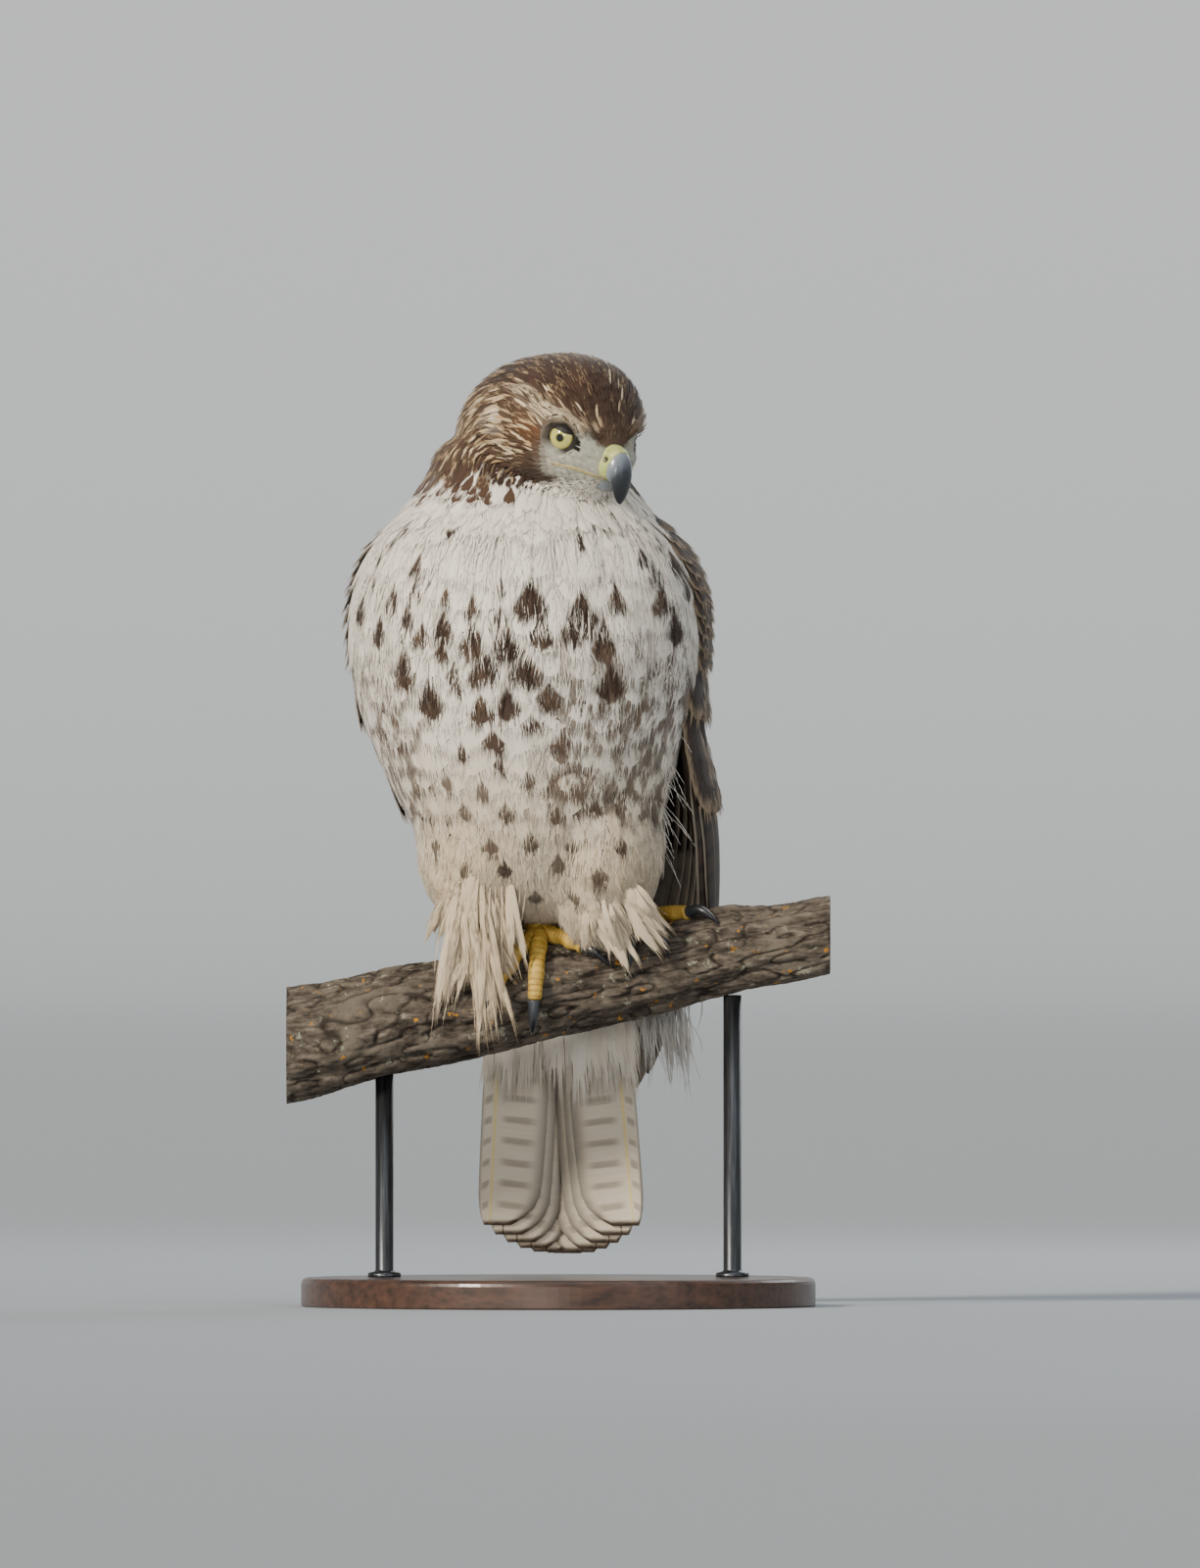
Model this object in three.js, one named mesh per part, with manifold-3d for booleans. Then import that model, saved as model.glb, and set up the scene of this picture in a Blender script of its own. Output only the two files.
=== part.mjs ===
// A young red-tailed hawk at rest on a cut length of branch, life size, on a plain display stand.
// Millimetres, +Z up, the origin at the middle of the base's underside. The bird faces -Y.
// Bird, head, feet and branch are forms worked out from the sizes below and parted with thin gaps.
import * as THREE from "three";
import { mergeVertices } from "three/addons/utils/BufferGeometryUtils.js";
import Module from "manifold-3d";

const wasm = await Module();
wasm.setup();

const { sin, cos, sqrt, abs, min, max, hypot, PI } = Math;
const degrees = PI / 180;
const UP = new THREE.Vector3(0, 0, 1);

// Gap between pieces that touch, and the wider cut that leaves it between small curved pieces of the head.
const GAP = 0.3;
const FACE_GAP = 0.5;

// Stand.
const BASE_RADIUS = 142;
const BASE_HEIGHT = 16;
const BASE_EDGE = 3;
const ROD_RADIUS = 5;
const ROD_REACH = 96;

// Branch: a thick end at -X, rising towards +X.
const BRANCH_LEFT = -150;
const BRANCH_RIGHT = 150;
const BRANCH_HEIGHT = 175;
const BRANCH_SLOPE = 0.205;
const BRANCH_RADIUS = 26;
const BRANCH_TAPER = -0.036;

// Where the bird and its head sit, and how they turn.
const BIRD_SHIFT = -8;
const BIRD_TURN = -8 * degrees;
const HEAD_PLACE = [25, -31, 482];
const HEAD_TURN = 46 * degrees;
const HEAD_NOD = 13 * degrees;

// Body and neck, bottom to top: height, half width, front, back.
const BODY = [
  [209, 18, 4, 46],
  [214, 38, -20, 60],
  [228, 55, -42, 70],
  [262, 67, -64, 77],
  [305, 83, -79, 80],
  [350, 95, -87, 80],
  [388, 96, -84, 76],
  [418, 86, -74, 69],
  [440, 67, -58, 60],
  [456, 56, -45, 52],
  [474, 47, -36, 46],
  [488, 24, -20, 28],
];
const NECK_FROM = 447;

// Outline of the folded wings, bottom to top: height, half width, front, back.
const WINGS = [
  [100, 44, 66, 118],
  [150, 58, 52, 109],
  [200, 74, 14, 98],
  [240, 81, -10, 89],
  [300, 91, -42, 85],
  [350, 97, -62, 81],
  [388, 98, -70, 77],
  [418, 88, -66, 70],
  [440, 70, -54, 61],
];
const WING_THICKNESS = 8;
const WING_VANE = 1;
const VANE_ROWS = 3;
// Each feather is turned a little about its length, so that it overlaps the next like a roof tile.
const SHINGLE_TILT = 0.1;
// Covered part of the wing: its heights, and its edges in degrees from the front.
const SHELL = { top: 440, bottom: 252, from: 97, sweep: 16, to: 170 };
// The left wing hangs further out below and reaches further forward than the right one.
const WING_SPREAD = 12;
const WING_FORWARD = 6;
// The chest leans to the bird's right over its feet.
const LEAN = 10;

// Head, back to front: forward of the head's own origin, half width, top, bottom.
const HEAD = [
  [-80, 8, -8, -20],
  [-74, 23, 6, -36],
  [-60, 38, 24, -49],
  [-36, 44, 35, -49],
  [-12, 42, 40, -43],
  [8, 36, 38.5, -37],
  [19, 28.5, 30, -31],
  [26, 19, 16, -26],
  [30, 11, 4, -22.5],
  [32, 5, -4, -19],
];
const EYE_RADIUS = 9.6;
const EYE_PLACE = [18.5, 10, 0];
const EYE_LOOK = 56 * degrees;
const ORBIT_RADIUS = 11;
// Hollow of the face round each eye: how deep, and its middle and reach, forward and up.
const FACE_HOLLOW = { depth: 4.5, forward: 14, up: -1, length: 11, height: 9 };
const LID_RING = 7.7;
const LID_THICKNESS = 1.3;
const LID_LIFT = 7.1;
const MOUTH_HEIGHT = -18.6;
const MOUTH_LINE = 0.8;
const MOUTH_DEPTH = 2;
// Ridge over each eye, front to back: to the side, forward, up.
const BROW = [[8, 28, 3.5], [18.5, 22, 7.5], [28, 11, 10], [31, -3, 9.5]];
const BROW_RADIUS = 5.8;
const MOUTH_CORNER = 14;
const LIP_HEIGHT = 4;
const LIP_RISE = 0.9;

// Bill: side profiles as forward and height, for a curve of four points.
const CULMEN = [[28, -1], [37, 1.5], [48, -3], [43.5, -31]];
const TOMIUM = [[28, -18.9], [34, -19.5], [40.5, -18.5], [42, -31]];
const LOWER_BILL = [[0, -22, -23], [0, -31, -23.4], [0, -39, -22.6]];
const NOSTRIL = { place: [8, -33.5, -8], size: [3, 1.5, 1.9] };
const BILL_HALF_WIDTH = 8.2;
const BILL_LENGTH = 38;
const CERE_SHARE = 0.42;
const CERE_SWELL = 0.4;

// Tail: where it is rooted, where the middle feathers end, and the feathers of one side.
const TAIL_ROOT = [-2, 64, 244];
const TAIL_TIP = [-5, 113, 27];
const TAIL_PAIRS = 6;
const TAIL_TOP = 5;
const TAIL_STEP = 1.1;
const TAIL_VANE = 0.8;
const TAIL_SPREAD = 5.3;
const TAIL_FEATHER = 36;
const TAIL_LOBE = [-2, 62, 238];
const TAIL_LOBE_SIZE = [30, 17, 30];
const TAIL_ROOM = { half: 48, from: -14, beyond: 6, low: -13, high: 10 };

// Legs: the thigh's lobe, the ankle, and the foot of each side in the bird's frame.
const THIGH_PLACE = [34, -10, 250];
const THIGH_SIZE = [33, 43, 54];
const TOE_RADIUS = 4.6;
const CLAW_LENGTH = 21;

// A vector from three numbers.
const at = (x, y, z) => new THREE.Vector3(x, y, z);

// Values of a table of stations at one place, on a smooth curve through its rows.
function through(rows, place) {
  const last = rows.length - 1;
  if (place <= rows[0][0]) return rows[0].slice(1);
  if (place >= rows[last][0]) return rows[last].slice(1);
  let i = 0;
  while (rows[i + 1][0] < place) i += 1;
  const [a, b] = [rows[i], rows[i + 1]];
  const [before, after] = [rows[max(i - 1, 0)], rows[min(i + 2, last)]];
  const span = b[0] - a[0];
  const t = (place - a[0]) / span;
  return a.slice(1).map((value, k) => {
    const next = b[k + 1];
    const leaving = (span * (next - before[k + 1])) / (b[0] - before[0]);
    const arriving = (span * (after[k + 1] - value)) / (after[0] - a[0]);
    const bend = (2 * t - 3) * t * t;
    return value * (bend + 1) - next * bend + leaving * t * (t - 1) ** 2 + arriving * t * t * (t - 1);
  });
}

// From 0 to 1 as a value goes from one place to another, with soft ends.
const rise = (value, from, to) => THREE.MathUtils.smoothstep(value, from, to);

// A small repeatable wobble from -1 to 1 for the n-th of many like pieces.
const wobble = (n) => sin(n * 12.9898 + 4.1) * cos(n * 3.77);

// Each vertex of a closed geometry goes where a function of it says.
function shaped(geometry, place) {
  geometry.deleteAttribute("uv");
  geometry.deleteAttribute("normal");
  const merged = mergeVertices(geometry, 1e-4);
  const position = merged.attributes.position;
  const point = new THREE.Vector3();
  for (let i = 0; i < position.count; i += 1) {
    const moved = place(point.fromBufferAttribute(position, i).clone());
    position.setXYZ(i, moved.x, moved.y, moved.z);
  }
  return merged;
}

// A closed slab over a grid: the same triangles above and below, and walls round the rim.
function slab(columns, rows, pointAt) {
  const points = [];
  const faces = [];
  const index = (i, j, side) => ((side * (rows + 1) + j) * (columns + 1) + i);
  for (const side of [0, 1])
    for (let j = 0; j <= rows; j += 1)
      for (let i = 0; i <= columns; i += 1) points.push(...pointAt(i / columns, j / rows, side).toArray());
  const quad = (a, b, c, d) => faces.push(a, b, c, a, c, d);
  for (let j = 0; j < rows; j += 1)
    for (let i = 0; i < columns; i += 1) {
      quad(index(i, j, 1), index(i + 1, j, 1), index(i + 1, j + 1, 1), index(i, j + 1, 1));
      const [a, b, c, d] = [index(i, j, 0), index(i + 1, j, 0), index(i + 1, j + 1, 0), index(i, j + 1, 0)];
      faces.push(a, c, b, a, d, c);
    }
  for (let i = 0; i < columns; i += 1) {
    quad(index(i, 0, 0), index(i + 1, 0, 0), index(i + 1, 0, 1), index(i, 0, 1));
    quad(index(i, rows, 1), index(i + 1, rows, 1), index(i + 1, rows, 0), index(i, rows, 0));
  }
  for (let j = 0; j < rows; j += 1) {
    quad(index(0, j, 1), index(0, j + 1, 1), index(0, j + 1, 0), index(0, j, 0));
    quad(index(columns, j, 0), index(columns, j + 1, 0), index(columns, j + 1, 1), index(columns, j, 1));
  }
  const geometry = new THREE.BufferGeometry();
  geometry.setAttribute("position", new THREE.Float32BufferAttribute(points, 3));
  geometry.setIndex(faces);
  return geometry;
}

// A closed geometry as a solid, turned inside out where it was made that way round.
function solid(geometry) {
  const bare = geometry.clone();
  bare.deleteAttribute("uv");
  bare.deleteAttribute("normal");
  const merged = mergeVertices(bare, 1e-4);
  const vertProperties = new Float32Array(merged.attributes.position.array);
  const triVerts = new Uint32Array(merged.index.array);
  const made = new wasm.Manifold(new wasm.Mesh({ numProp: 3, vertProperties, triVerts }));
  if (made.volume() > 0) return made;
  for (let i = 0; i < triVerts.length; i += 3)
    [triVerts[i + 1], triVerts[i + 2]] = [triVerts[i + 2], triVerts[i + 1]];
  return new wasm.Manifold(new wasm.Mesh({ numProp: 3, vertProperties, triVerts }));
}

// A solid larger all round by a clearance, or smaller where that is below zero.
function swollen(piece, clearance) {
  const made = piece.getMesh();
  const geometry = new THREE.BufferGeometry();
  geometry.setAttribute("position", new THREE.BufferAttribute(new Float32Array(made.vertProperties), 3));
  geometry.setIndex(new THREE.BufferAttribute(new Uint32Array(made.triVerts), 1));
  geometry.computeVertexNormals();
  const { position, normal } = geometry.attributes;
  for (let i = 0; i < position.count; i += 1)
    position.setXYZ(i, position.getX(i) + clearance * normal.getX(i),
      position.getY(i) + clearance * normal.getY(i), position.getZ(i) + clearance * normal.getZ(i));
  return solid(geometry);
}

// A solid carried by a matrix.
const moved = (piece, matrix) => piece.transform(matrix.elements);

// One body out of many closed pieces.
const joined = (pieces) => pieces.reduce((whole, piece) => whole.add(piece));

// The largest closed body of a solid, without loose scraps.
function largest(piece) {
  const bodies = piece.decompose();
  return bodies.reduce((best, body) => (body.volume() > best.volume() ? body : best));
}

// A solid as a named mesh with its own material.
function mesh(name, piece, color, roughness = 0.8, metalness = 0) {
  const made = largest(piece).getMesh();
  const geometry = new THREE.BufferGeometry();
  const position = new Float32Array(made.numVert * 3);
  for (let i = 0; i < made.numVert; i += 1)
    position.set(made.vertProperties.subarray(i * made.numProp, i * made.numProp + 3), i * 3);
  geometry.setAttribute("position", new THREE.BufferAttribute(position, 3));
  geometry.setIndex(new THREE.BufferAttribute(new Uint32Array(made.triVerts), 1));
  geometry.computeVertexNormals();
  const result = new THREE.Mesh(geometry, new THREE.MeshStandardMaterial({ color, roughness, metalness }));
  result.name = name;
  return result;
}

// A round tube along a path: a ball's rings set along it, with a radius for each place from 0 to 1.
function tube(path, radiusAt, columns, rows, flatten = 1) {
  const frames = path.computeFrenetFrames(40, false);
  return solid(
    shaped(new THREE.SphereGeometry(1, columns, rows), (p) => {
      const t = THREE.MathUtils.clamp((1 - p.y) / 2, 0, 1);
      const k = Math.round(t * 40);
      const around = hypot(p.x, p.z);
      const radius = around < 1e-6 ? 0 : radiusAt(t) / around;
      const centre = path.getPoint(t);
      centre.addScaledVector(frames.normals[k], p.x * radius);
      return centre.addScaledVector(frames.binormals[k], p.z * radius * flatten);
    }),
  );
}

// A smooth path through points.
const pathThrough = (points) => new THREE.CatmullRomCurve3(points.map((p) => at(...p)), false, "centripetal");

// A ball stretched to three half sizes and set at a place.
const lobe = (place, size, columns = 16, rows = 12) =>
  solid(shaped(new THREE.SphereGeometry(1, columns, rows), (p) =>
    at(place[0] + p.x * size[0], place[1] + p.y * size[1], place[2] + p.z * size[2])));

// A block between two corners.
function block(low, high) {
  const size = high.map((value, i) => value - low[i]);
  const middle = high.map((value, i) => (value + low[i]) / 2);
  return solid(new THREE.BoxGeometry(...size).translate(...middle));
}

// How far the body's middle lies to the side at a height.
const lean = (z) => -LEAN * rise(z, 215, 330);

// Point of a ring of the body or wings at a height, an angle from the front, and a distance out.
function ringPoint(table, z, angle, out) {
  const [halfWidth, front, back] = through(table, z);
  const middle = (front + back) / 2;
  const depth = (back - front) / 2;
  return at((halfWidth + out) * sin(angle) + lean(z), middle - (depth + out) * cos(angle), z);
}

// The same on the outline of one wing.
function wingPoint(side, z, angle, out) {
  const spread = side * WING_SPREAD * (1 - rise(z, 250, 350));
  const p = ringPoint(WINGS, z, angle, out);
  return at(side * (p.x - lean(z) + spread * sin(angle)) + lean(z), p.y, z);
}

// Where the front edge of a wing lies, in degrees from the front, more for the left wing.
const wingShift = (side) => (side > 0 ? -2 * WING_FORWARD : 0);

// The body's sides and back are hollowed by this much where the folded wings lie.
function wingBed(z, angle) {
  const side = angle > 0 ? 1 : -1;
  const from = (72 + wingShift(side)) * degrees;
  const round = rise(abs(angle), from, from + 20 * degrees);
  return WING_THICKNESS * round * (1 - rise(z, 424, 440)) * rise(z, 232, 262);
}

// Body and neck in one.
function bodyForm() {
  const [low, high] = [BODY[0][0], BODY[BODY.length - 1][0]];
  return solid(
    shaped(new THREE.SphereGeometry(1, 24, 18), (p) => {
      const z = THREE.MathUtils.mapLinear(p.y, -1, 1, low, high);
      const around = hypot(p.x, p.z);
      if (around < 1e-6) return at(lean(z), through(BODY, z)[1] + 20, z);
      const angle = Math.atan2(p.x, -p.z);
      return ringPoint(BODY, z, angle, -wingBed(z, angle));
    }),
  );
}

// Head without its bill, in its own frame: forward is -Y.
function headForm() {
  const [back, front] = [HEAD[0][0], HEAD[HEAD.length - 1][0]];
  return solid(
    shaped(new THREE.SphereGeometry(1, 22, 16), (p) => {
      const forward = THREE.MathUtils.mapLinear(p.y, 1, -1, back, front);
      const [halfWidth, top, bottom] = through(HEAD, forward);
      const around = hypot(p.x, p.z);
      const share = around < 1e-6 ? 0 : 1 / around;
      const z = (top + bottom) / 2 + (p.z * share * (top - bottom)) / 2;
      const { depth, forward: middle, up, length: reach, height } = FACE_HOLLOW;
      const hollow = depth * Math.exp(-(((forward - middle) / reach) ** 2) - ((z - up) / height) ** 2);
      return at(p.x * share * (halfWidth - hollow), -forward, z);
    }),
  );
}

// Bill or cere: rings between the two side profiles, over a share of their length.
function billForm(from, to, swell, rows = 8) {
  const curve = (p) => new THREE.CubicBezierCurve(...p.map(([f, z]) => new THREE.Vector2(f, z)));
  const [upper, lower] = [curve(CULMEN), curve(TOMIUM)];
  return solid(
    shaped(new THREE.SphereGeometry(1, 14, rows), (p) => {
      const t = THREE.MathUtils.mapLinear(p.y, 1, -1, from, to);
      const [top, bottom] = [upper.getPoint(t), lower.getPoint(t)];
      const middle = top.clone().add(bottom).multiplyScalar(0.5);
      const half = top.clone().sub(bottom).multiplyScalar(0.5);
      const around = hypot(p.x, p.z);
      const share = around < 1e-6 ? 0 : 1 / around;
      const narrow = max(0.12, sqrt(max(0, 1 - t ** 3)));
      const width = BILL_HALF_WIDTH * narrow + swell;
      const stretch = 1 + swell / half.length();
      return at(p.x * share * width, -(middle.x + half.x * p.z * share * stretch),
        middle.y + half.y * p.z * share * stretch);
    }),
  );
}

// Matrix that sets a ball's pole along the way an eye looks, at that eye.
function eyeFrame(side) {
  const look = at(side * sin(EYE_LOOK), -cos(EYE_LOOK), 0);
  const turn = new THREE.Quaternion().setFromUnitVectors(UP, look);
  const place = at(side * EYE_PLACE[0], -EYE_PLACE[1], EYE_PLACE[2]);
  return new THREE.Matrix4().compose(place, turn, at(1, 1, 1));
}

// Eyeball.
const eyeball = (side) =>
  moved(solid(new THREE.SphereGeometry(EYE_RADIUS, 12, 8).rotateX(PI / 2)), eyeFrame(side));

// Lids: a ring that overlaps the eyeball's edge.
function lids(side) {
  const ring = new THREE.TorusGeometry(LID_RING, LID_THICKNESS, 5, 14).translate(0, 0, LID_LIFT);
  return moved(solid(ring), eyeFrame(side));
}

// Brow: the bony ridge over each eye that gives the stern look.
function brow(side) {
  const ridge = pathThrough(BROW.map(([x, forward, z]) => [side * x, -forward, z]));
  return tube(ridge, (t) => BROW_RADIUS * sqrt(sin(PI * t)) + 0.05, 8, 7);
}

// Hollow of the eye, which the lids stand in.
function orbit(side) {
  const depth = sqrt(EYE_RADIUS ** 2 - LID_RING ** 2) - 1.6;
  return moved(solid(new THREE.SphereGeometry(ORBIT_RADIUS, 14, 10).translate(0, 0, depth + ORBIT_RADIUS)),
    eyeFrame(side));
}

// Soft raised band along the mouth, larger all round by a clearance.
function lips(clearance = 0) {
  const half = LIP_HEIGHT / 2 + clearance;
  const front = HEAD[HEAD.length - 1][0] + 1 + clearance;
  const band = block([-40, -front, MOUTH_HEIGHT - half], [40, clearance - MOUTH_CORNER, MOUTH_HEIGHT + half]);
  return swollen(headForm(), LIP_RISE + clearance).intersect(band);
}

// The head's outside: skull, brows and lips, larger all round by a clearance.
const skull = (clearance = 0) =>
  joined([...[headForm(), brow(-1), brow(1)].map((piece) => swollen(piece, clearance)), lips(clearance)]);

// The head with lids, the mouth's line, the sockets and the seat of the bill.
function head() {
  const half = MOUTH_LINE / 2;
  const mouthBand = block([-50, -60, MOUTH_HEIGHT - half], [50, -MOUTH_CORNER - 2, MOUTH_HEIGHT + half]);
  const mouth = mouthBand.subtract(swollen(headForm(), -MOUTH_DEPTH));
  let made = skull().subtract(mouth);
  for (const side of [-1, 1])
    made = made.subtract(orbit(side)).add(lids(side)).subtract(swollen(eyeball(side), GAP));
  const bill = joined([cereForm(), hornForm(), lowerBill()].map((piece) => swollen(piece, FACE_GAP)));
  return made.subtract(bill);
}

// Root and horn of the upper bill, a clearance apart.
const cereForm = () => billForm(0, CERE_SHARE, CERE_SWELL, 6);
const hornForm = () => billForm(CERE_SHARE + FACE_GAP / BILL_LENGTH, 1, 0);

// Lower bill: a short trough-shaped blade that tucks in behind the hook.
function lowerBill() {
  const blunt = (t) => sqrt(max(0, 1 - (2 * t - 1) ** 10));
  return tube(pathThrough(LOWER_BILL), (t) => (3.4 - 1.6 * t ** 3) * blunt(t) + 0.02, 8, 8, 1.5);
}

// Cere: the soft saddle at the bill's root, with a nostril on each side.
function cere() {
  const [x, y, z] = NOSTRIL.place;
  const nostril = (side) => lobe([side * x, y, z], NOSTRIL.size, 8, 6);
  return cereForm().subtract(nostril(-1)).subtract(nostril(1));
}

// Branch with long ridges of bark, rising from its thick end.
function branchForm() {
  const length = BRANCH_RIGHT - BRANCH_LEFT;
  const rind = new THREE.CylinderGeometry(1, 1, 1, 20, 14, false);
  return solid(
    shaped(rind, (p) => {
      const x = BRANCH_LEFT + (p.y + 0.5) * length;
      const around = hypot(p.x, p.z);
      const angle = Math.atan2(p.z, p.x);
      const knot = 3.2 * Math.exp(-(((x - 92) / 16) ** 2)) * max(0, sin(angle + 0.6));
      const ridges = 0.8 * sin(7 * angle + x * 0.03) + 0.5 * sin(11 * angle - x * 0.05);
      const waves = 0.9 * sin(x * 0.07 + angle);
      const radius = BRANCH_RADIUS + BRANCH_TAPER * x + ridges + waves + knot;
      const sway = 2.5 * sin(x * 0.021);
      return at(x, sway + (around < 0.5 ? 0 : radius * cos(angle)),
        branchHeight(x) + (around < 0.5 ? 0 : radius * sin(angle)));
    }),
  );
}

// Height of the branch's middle line.
const branchHeight = (x) => BRANCH_HEIGHT + BRANCH_SLOPE * x;

// Point on the branch in the bird's frame: along it, round it from the top forwards, and off its bark.
function onBranch(x, angle, off, toBird) {
  const radius = BRANCH_RADIUS + BRANCH_TAPER * x + off;
  const place = at(x, 2.5 * sin(x * 0.021) - radius * sin(angle), branchHeight(x) + radius * cos(angle));
  return place.applyMatrix4(toBird);
}

const birdFrame = new THREE.Matrix4().compose(
  at(BIRD_SHIFT, 0, 0), new THREE.Quaternion().setFromAxisAngle(UP, BIRD_TURN), at(1, 1, 1));
const toBird = birdFrame.clone().invert();
const headTurn = new THREE.Quaternion().setFromEuler(new THREE.Euler(HEAD_NOD, 0, HEAD_TURN, "ZYX"));
const headFrame = new THREE.Matrix4().compose(at(...HEAD_PLACE), headTurn, at(1, 1, 1));

// The four toes of each foot: along the branch from the foot's middle, and round it, at the toe's end.
const FEET = {
  right: {
    x: -10,
    round: 4 * degrees,
    toes: [[-3, -96], [24, 44], [-3, 92], [-24, 70]],
    ankle: [-24, 8, 236],
  },
  left: {
    x: 46,
    round: -30 * degrees,
    toes: [[2, -72], [-5, 76], [9, 66], [26, 44]],
    ankle: [42, 16, 242],
  },
};

// Path of one toe, from the foot's middle round the branch.
function toePath(foot, [reach, round], from, to) {
  const points = [];
  for (const t of [0, 0.3, 0.6, 0.85, 1]) {
    const share = from + (to - from) * t;
    const off = TOE_RADIUS * 0.8 + 1 + 3 * (1 - share) ** 2;
    points.push(onBranch(foot.x + reach * share, foot.round + round * degrees * share, off, toBird));
  }
  return new THREE.CatmullRomCurve3(points, false, "centripetal");
}

// A toe with raised scutes across it.
const toe = (foot, ends) =>
  tube(toePath(foot, ends, 0, 1), (t) => {
    const scute = 0.35 * abs(sin(t * 9 * PI));
    const pads = 0.5 * cos(t * 6 * PI);
    return (TOE_RADIUS * (1.12 - 0.3 * t) + scute + pads) * (1 - 0.5 * rise(t, 0.9, 1));
  }, 7, 12);

// A claw: a curved horn from the toe's end, bending round towards the bark.
function claw(foot, [reach, round]) {
  const length = CLAW_LENGTH / hypot(reach, (round * degrees) * BRANCH_RADIUS);
  const points = [];
  for (const t of [0, 0.35, 0.7, 1]) {
    const share = 1 + length * t;
    const off = (TOE_RADIUS * 0.8 + 1.4) * (1 - t) + 4.2 * sin(PI * min(t, 0.9));
    points.push(onBranch(foot.x + reach * share, foot.round + round * degrees * share, off, toBird));
  }
  const path = new THREE.CatmullRomCurve3(points, false, "centripetal");
  return tube(path, (t) => 3.4 * (1 - t) ** 0.7 + 0.25, 6, 7);
}

// Tarsus and toes of one leg in one piece.
function leg(side, grow = 0) {
  const foot = FEET[side];
  const base = onBranch(foot.x, foot.round, TOE_RADIUS + 3.4, toBird);
  const ankle = at(...foot.ankle);
  const tarsus = tube(new THREE.CatmullRomCurve3([ankle, ankle.clone().lerp(base, 0.5), base]),
    (t) => 6 + 1.6 * t ** 4, 8, 6);
  const pieces = [tarsus, ...foot.toes.map((ends) => toe(foot, ends))];
  return joined(grow ? pieces.map((piece) => swollen(piece, grow)) : pieces);
}

// Thigh: a full lobe of feathering that narrows to the ankle.
function thigh(side) {
  return solid(
    shaped(new THREE.SphereGeometry(1, 18, 12), (p) => {
      const narrow = 1 - 0.2 * rise(-p.y, 0.1, 1);
      const sway = -3 * side * rise(-p.y, 0, 1);
      return at(side * THIGH_PLACE[0] + sway + p.x * narrow * THIGH_SIZE[0],
        THIGH_PLACE[1] + p.z * narrow * THIGH_SIZE[1], THIGH_PLACE[2] + p.y * THIGH_SIZE[2]);
    }),
  );
}

// A flat feather along a middle line, its rows closest at the tip: its half width is full from a third of its
// length on and narrows to a round tip, and its middle stands higher than its edges.
function vane(line, across, outward, half, thick, { arch = 0.09, point = 3, close = 1.8 } = {}) {
  return solid(
    slab(2, VANE_ROWS, (u, row, side) => {
      const v = 1 - (1 - row) ** close;
      const s = 2 * u - 1;
      const reach = half * (0.62 + 0.38 * rise(v, 0, 0.35)) * (1 - v ** point * 0.72);
      const lift = -arch * half * s * s + (side - 0.5) * thick * (1 - 0.25 * abs(s));
      const trail = v === 1 ? 1 - 0.05 * s * s : v;
      return line(trail).clone().addScaledVector(across(v), s * reach).addScaledVector(outward(v), lift);
    }),
  );
}

// One feather laid on the wing's outline: root and end as height and angle, and how far out each lies.
function wingFeather(side, root, end, half) {
  const between = (v) => root.map((value, i) => value + (end[i] - value) * v);
  const line = (v) => {
    const [z, angle, out] = between(v);
    return wingPoint(side, z, angle * degrees, out);
  };
  const outward = (v) => {
    const angle = between(v)[1] * degrees;
    return at(side * sin(angle), -cos(angle), 0);
  };
  const across = (v) => {
    const along = line(min(1, v + 0.05)).sub(line(max(0, v - 0.05))).normalize();
    return along.clone().cross(outward(v)).normalize().applyAxisAngle(along, side * SHINGLE_TILT);
  };
  return vane(line, across, outward, half, WING_VANE);
}

// A tier of like feathers across the folded wing.
function tier(side, { count, root, end, half }) {
  return Array.from({ length: count }, (_, i) => {
    const share = count > 1 ? i / (count - 1) : 0;
    const between = ([from, to]) => from + (to - from) * share;
    const vary = 2.2 * wobble(i + count);
    const shift = wingShift(side) * (1 - share);
    return wingFeather(side, [between(root.z), between(root.angle) + shift, root.out],
      [between(end.z) + vary, between(end.angle) + shift, end.out], half);
  });
}

// The folded wing's covered part: a shell over the body's side and back.
function wingShell(side) {
  return solid(
    slab(5, 6, (u, v, face) => {
      const z = SHELL.top + (SHELL.bottom - SHELL.top) * v;
      const from = SHELL.from + wingShift(side) - SHELL.sweep * rise(v, 0.1, 0.9);
      const angle = (from + (SHELL.to - from) * u) * degrees;
      const thin = 1 - 0.7 * rise(v, 0.7, 1);
      const edge = min(1, 0.35 + 4 * u) * min(1, 0.35 + 5 * (1 - u));
      const out = face ? 1 - 0.45 * WING_THICKNESS * (1 - edge * thin) : -WING_THICKNESS - 1;
      return wingPoint(side, z, angle, out);
    }),
  );
}

// Tiers of feathers on the folded wing, lowest first: heights and angles of roots and ends from the first
// feather to the last, and how far out each end lies.
const TIERS = [
  {
    count: 6,
    half: 15.5,
    root: { z: [302, 312], angle: [92, 163], out: -4 },
    end: { z: [206, 222], angle: [88, 165], out: 0.6 },
  },
  {
    count: 6,
    half: 15,
    root: { z: [352, 362], angle: [94, 163], out: -4 },
    end: { z: [272, 290], angle: [88, 165], out: 2.6 },
  },
  {
    count: 6,
    half: 14.5,
    root: { z: [396, 404], angle: [97, 162], out: -4 },
    end: { z: [328, 344], angle: [91, 164], out: 3.6 },
  },
  {
    count: 3,
    half: 12,
    root: { z: [428, 430], angle: [144, 164], out: -3 },
    end: { z: [376, 386], angle: [143, 163], out: 4.4 },
  },
];
// Tips of the long primaries, from the leading edge inwards, as height and angle.
const PRIMARIES = [[188, 108], [152, 125], [127, 136], [120, 146], [138, 153], [168, 159]];

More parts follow.
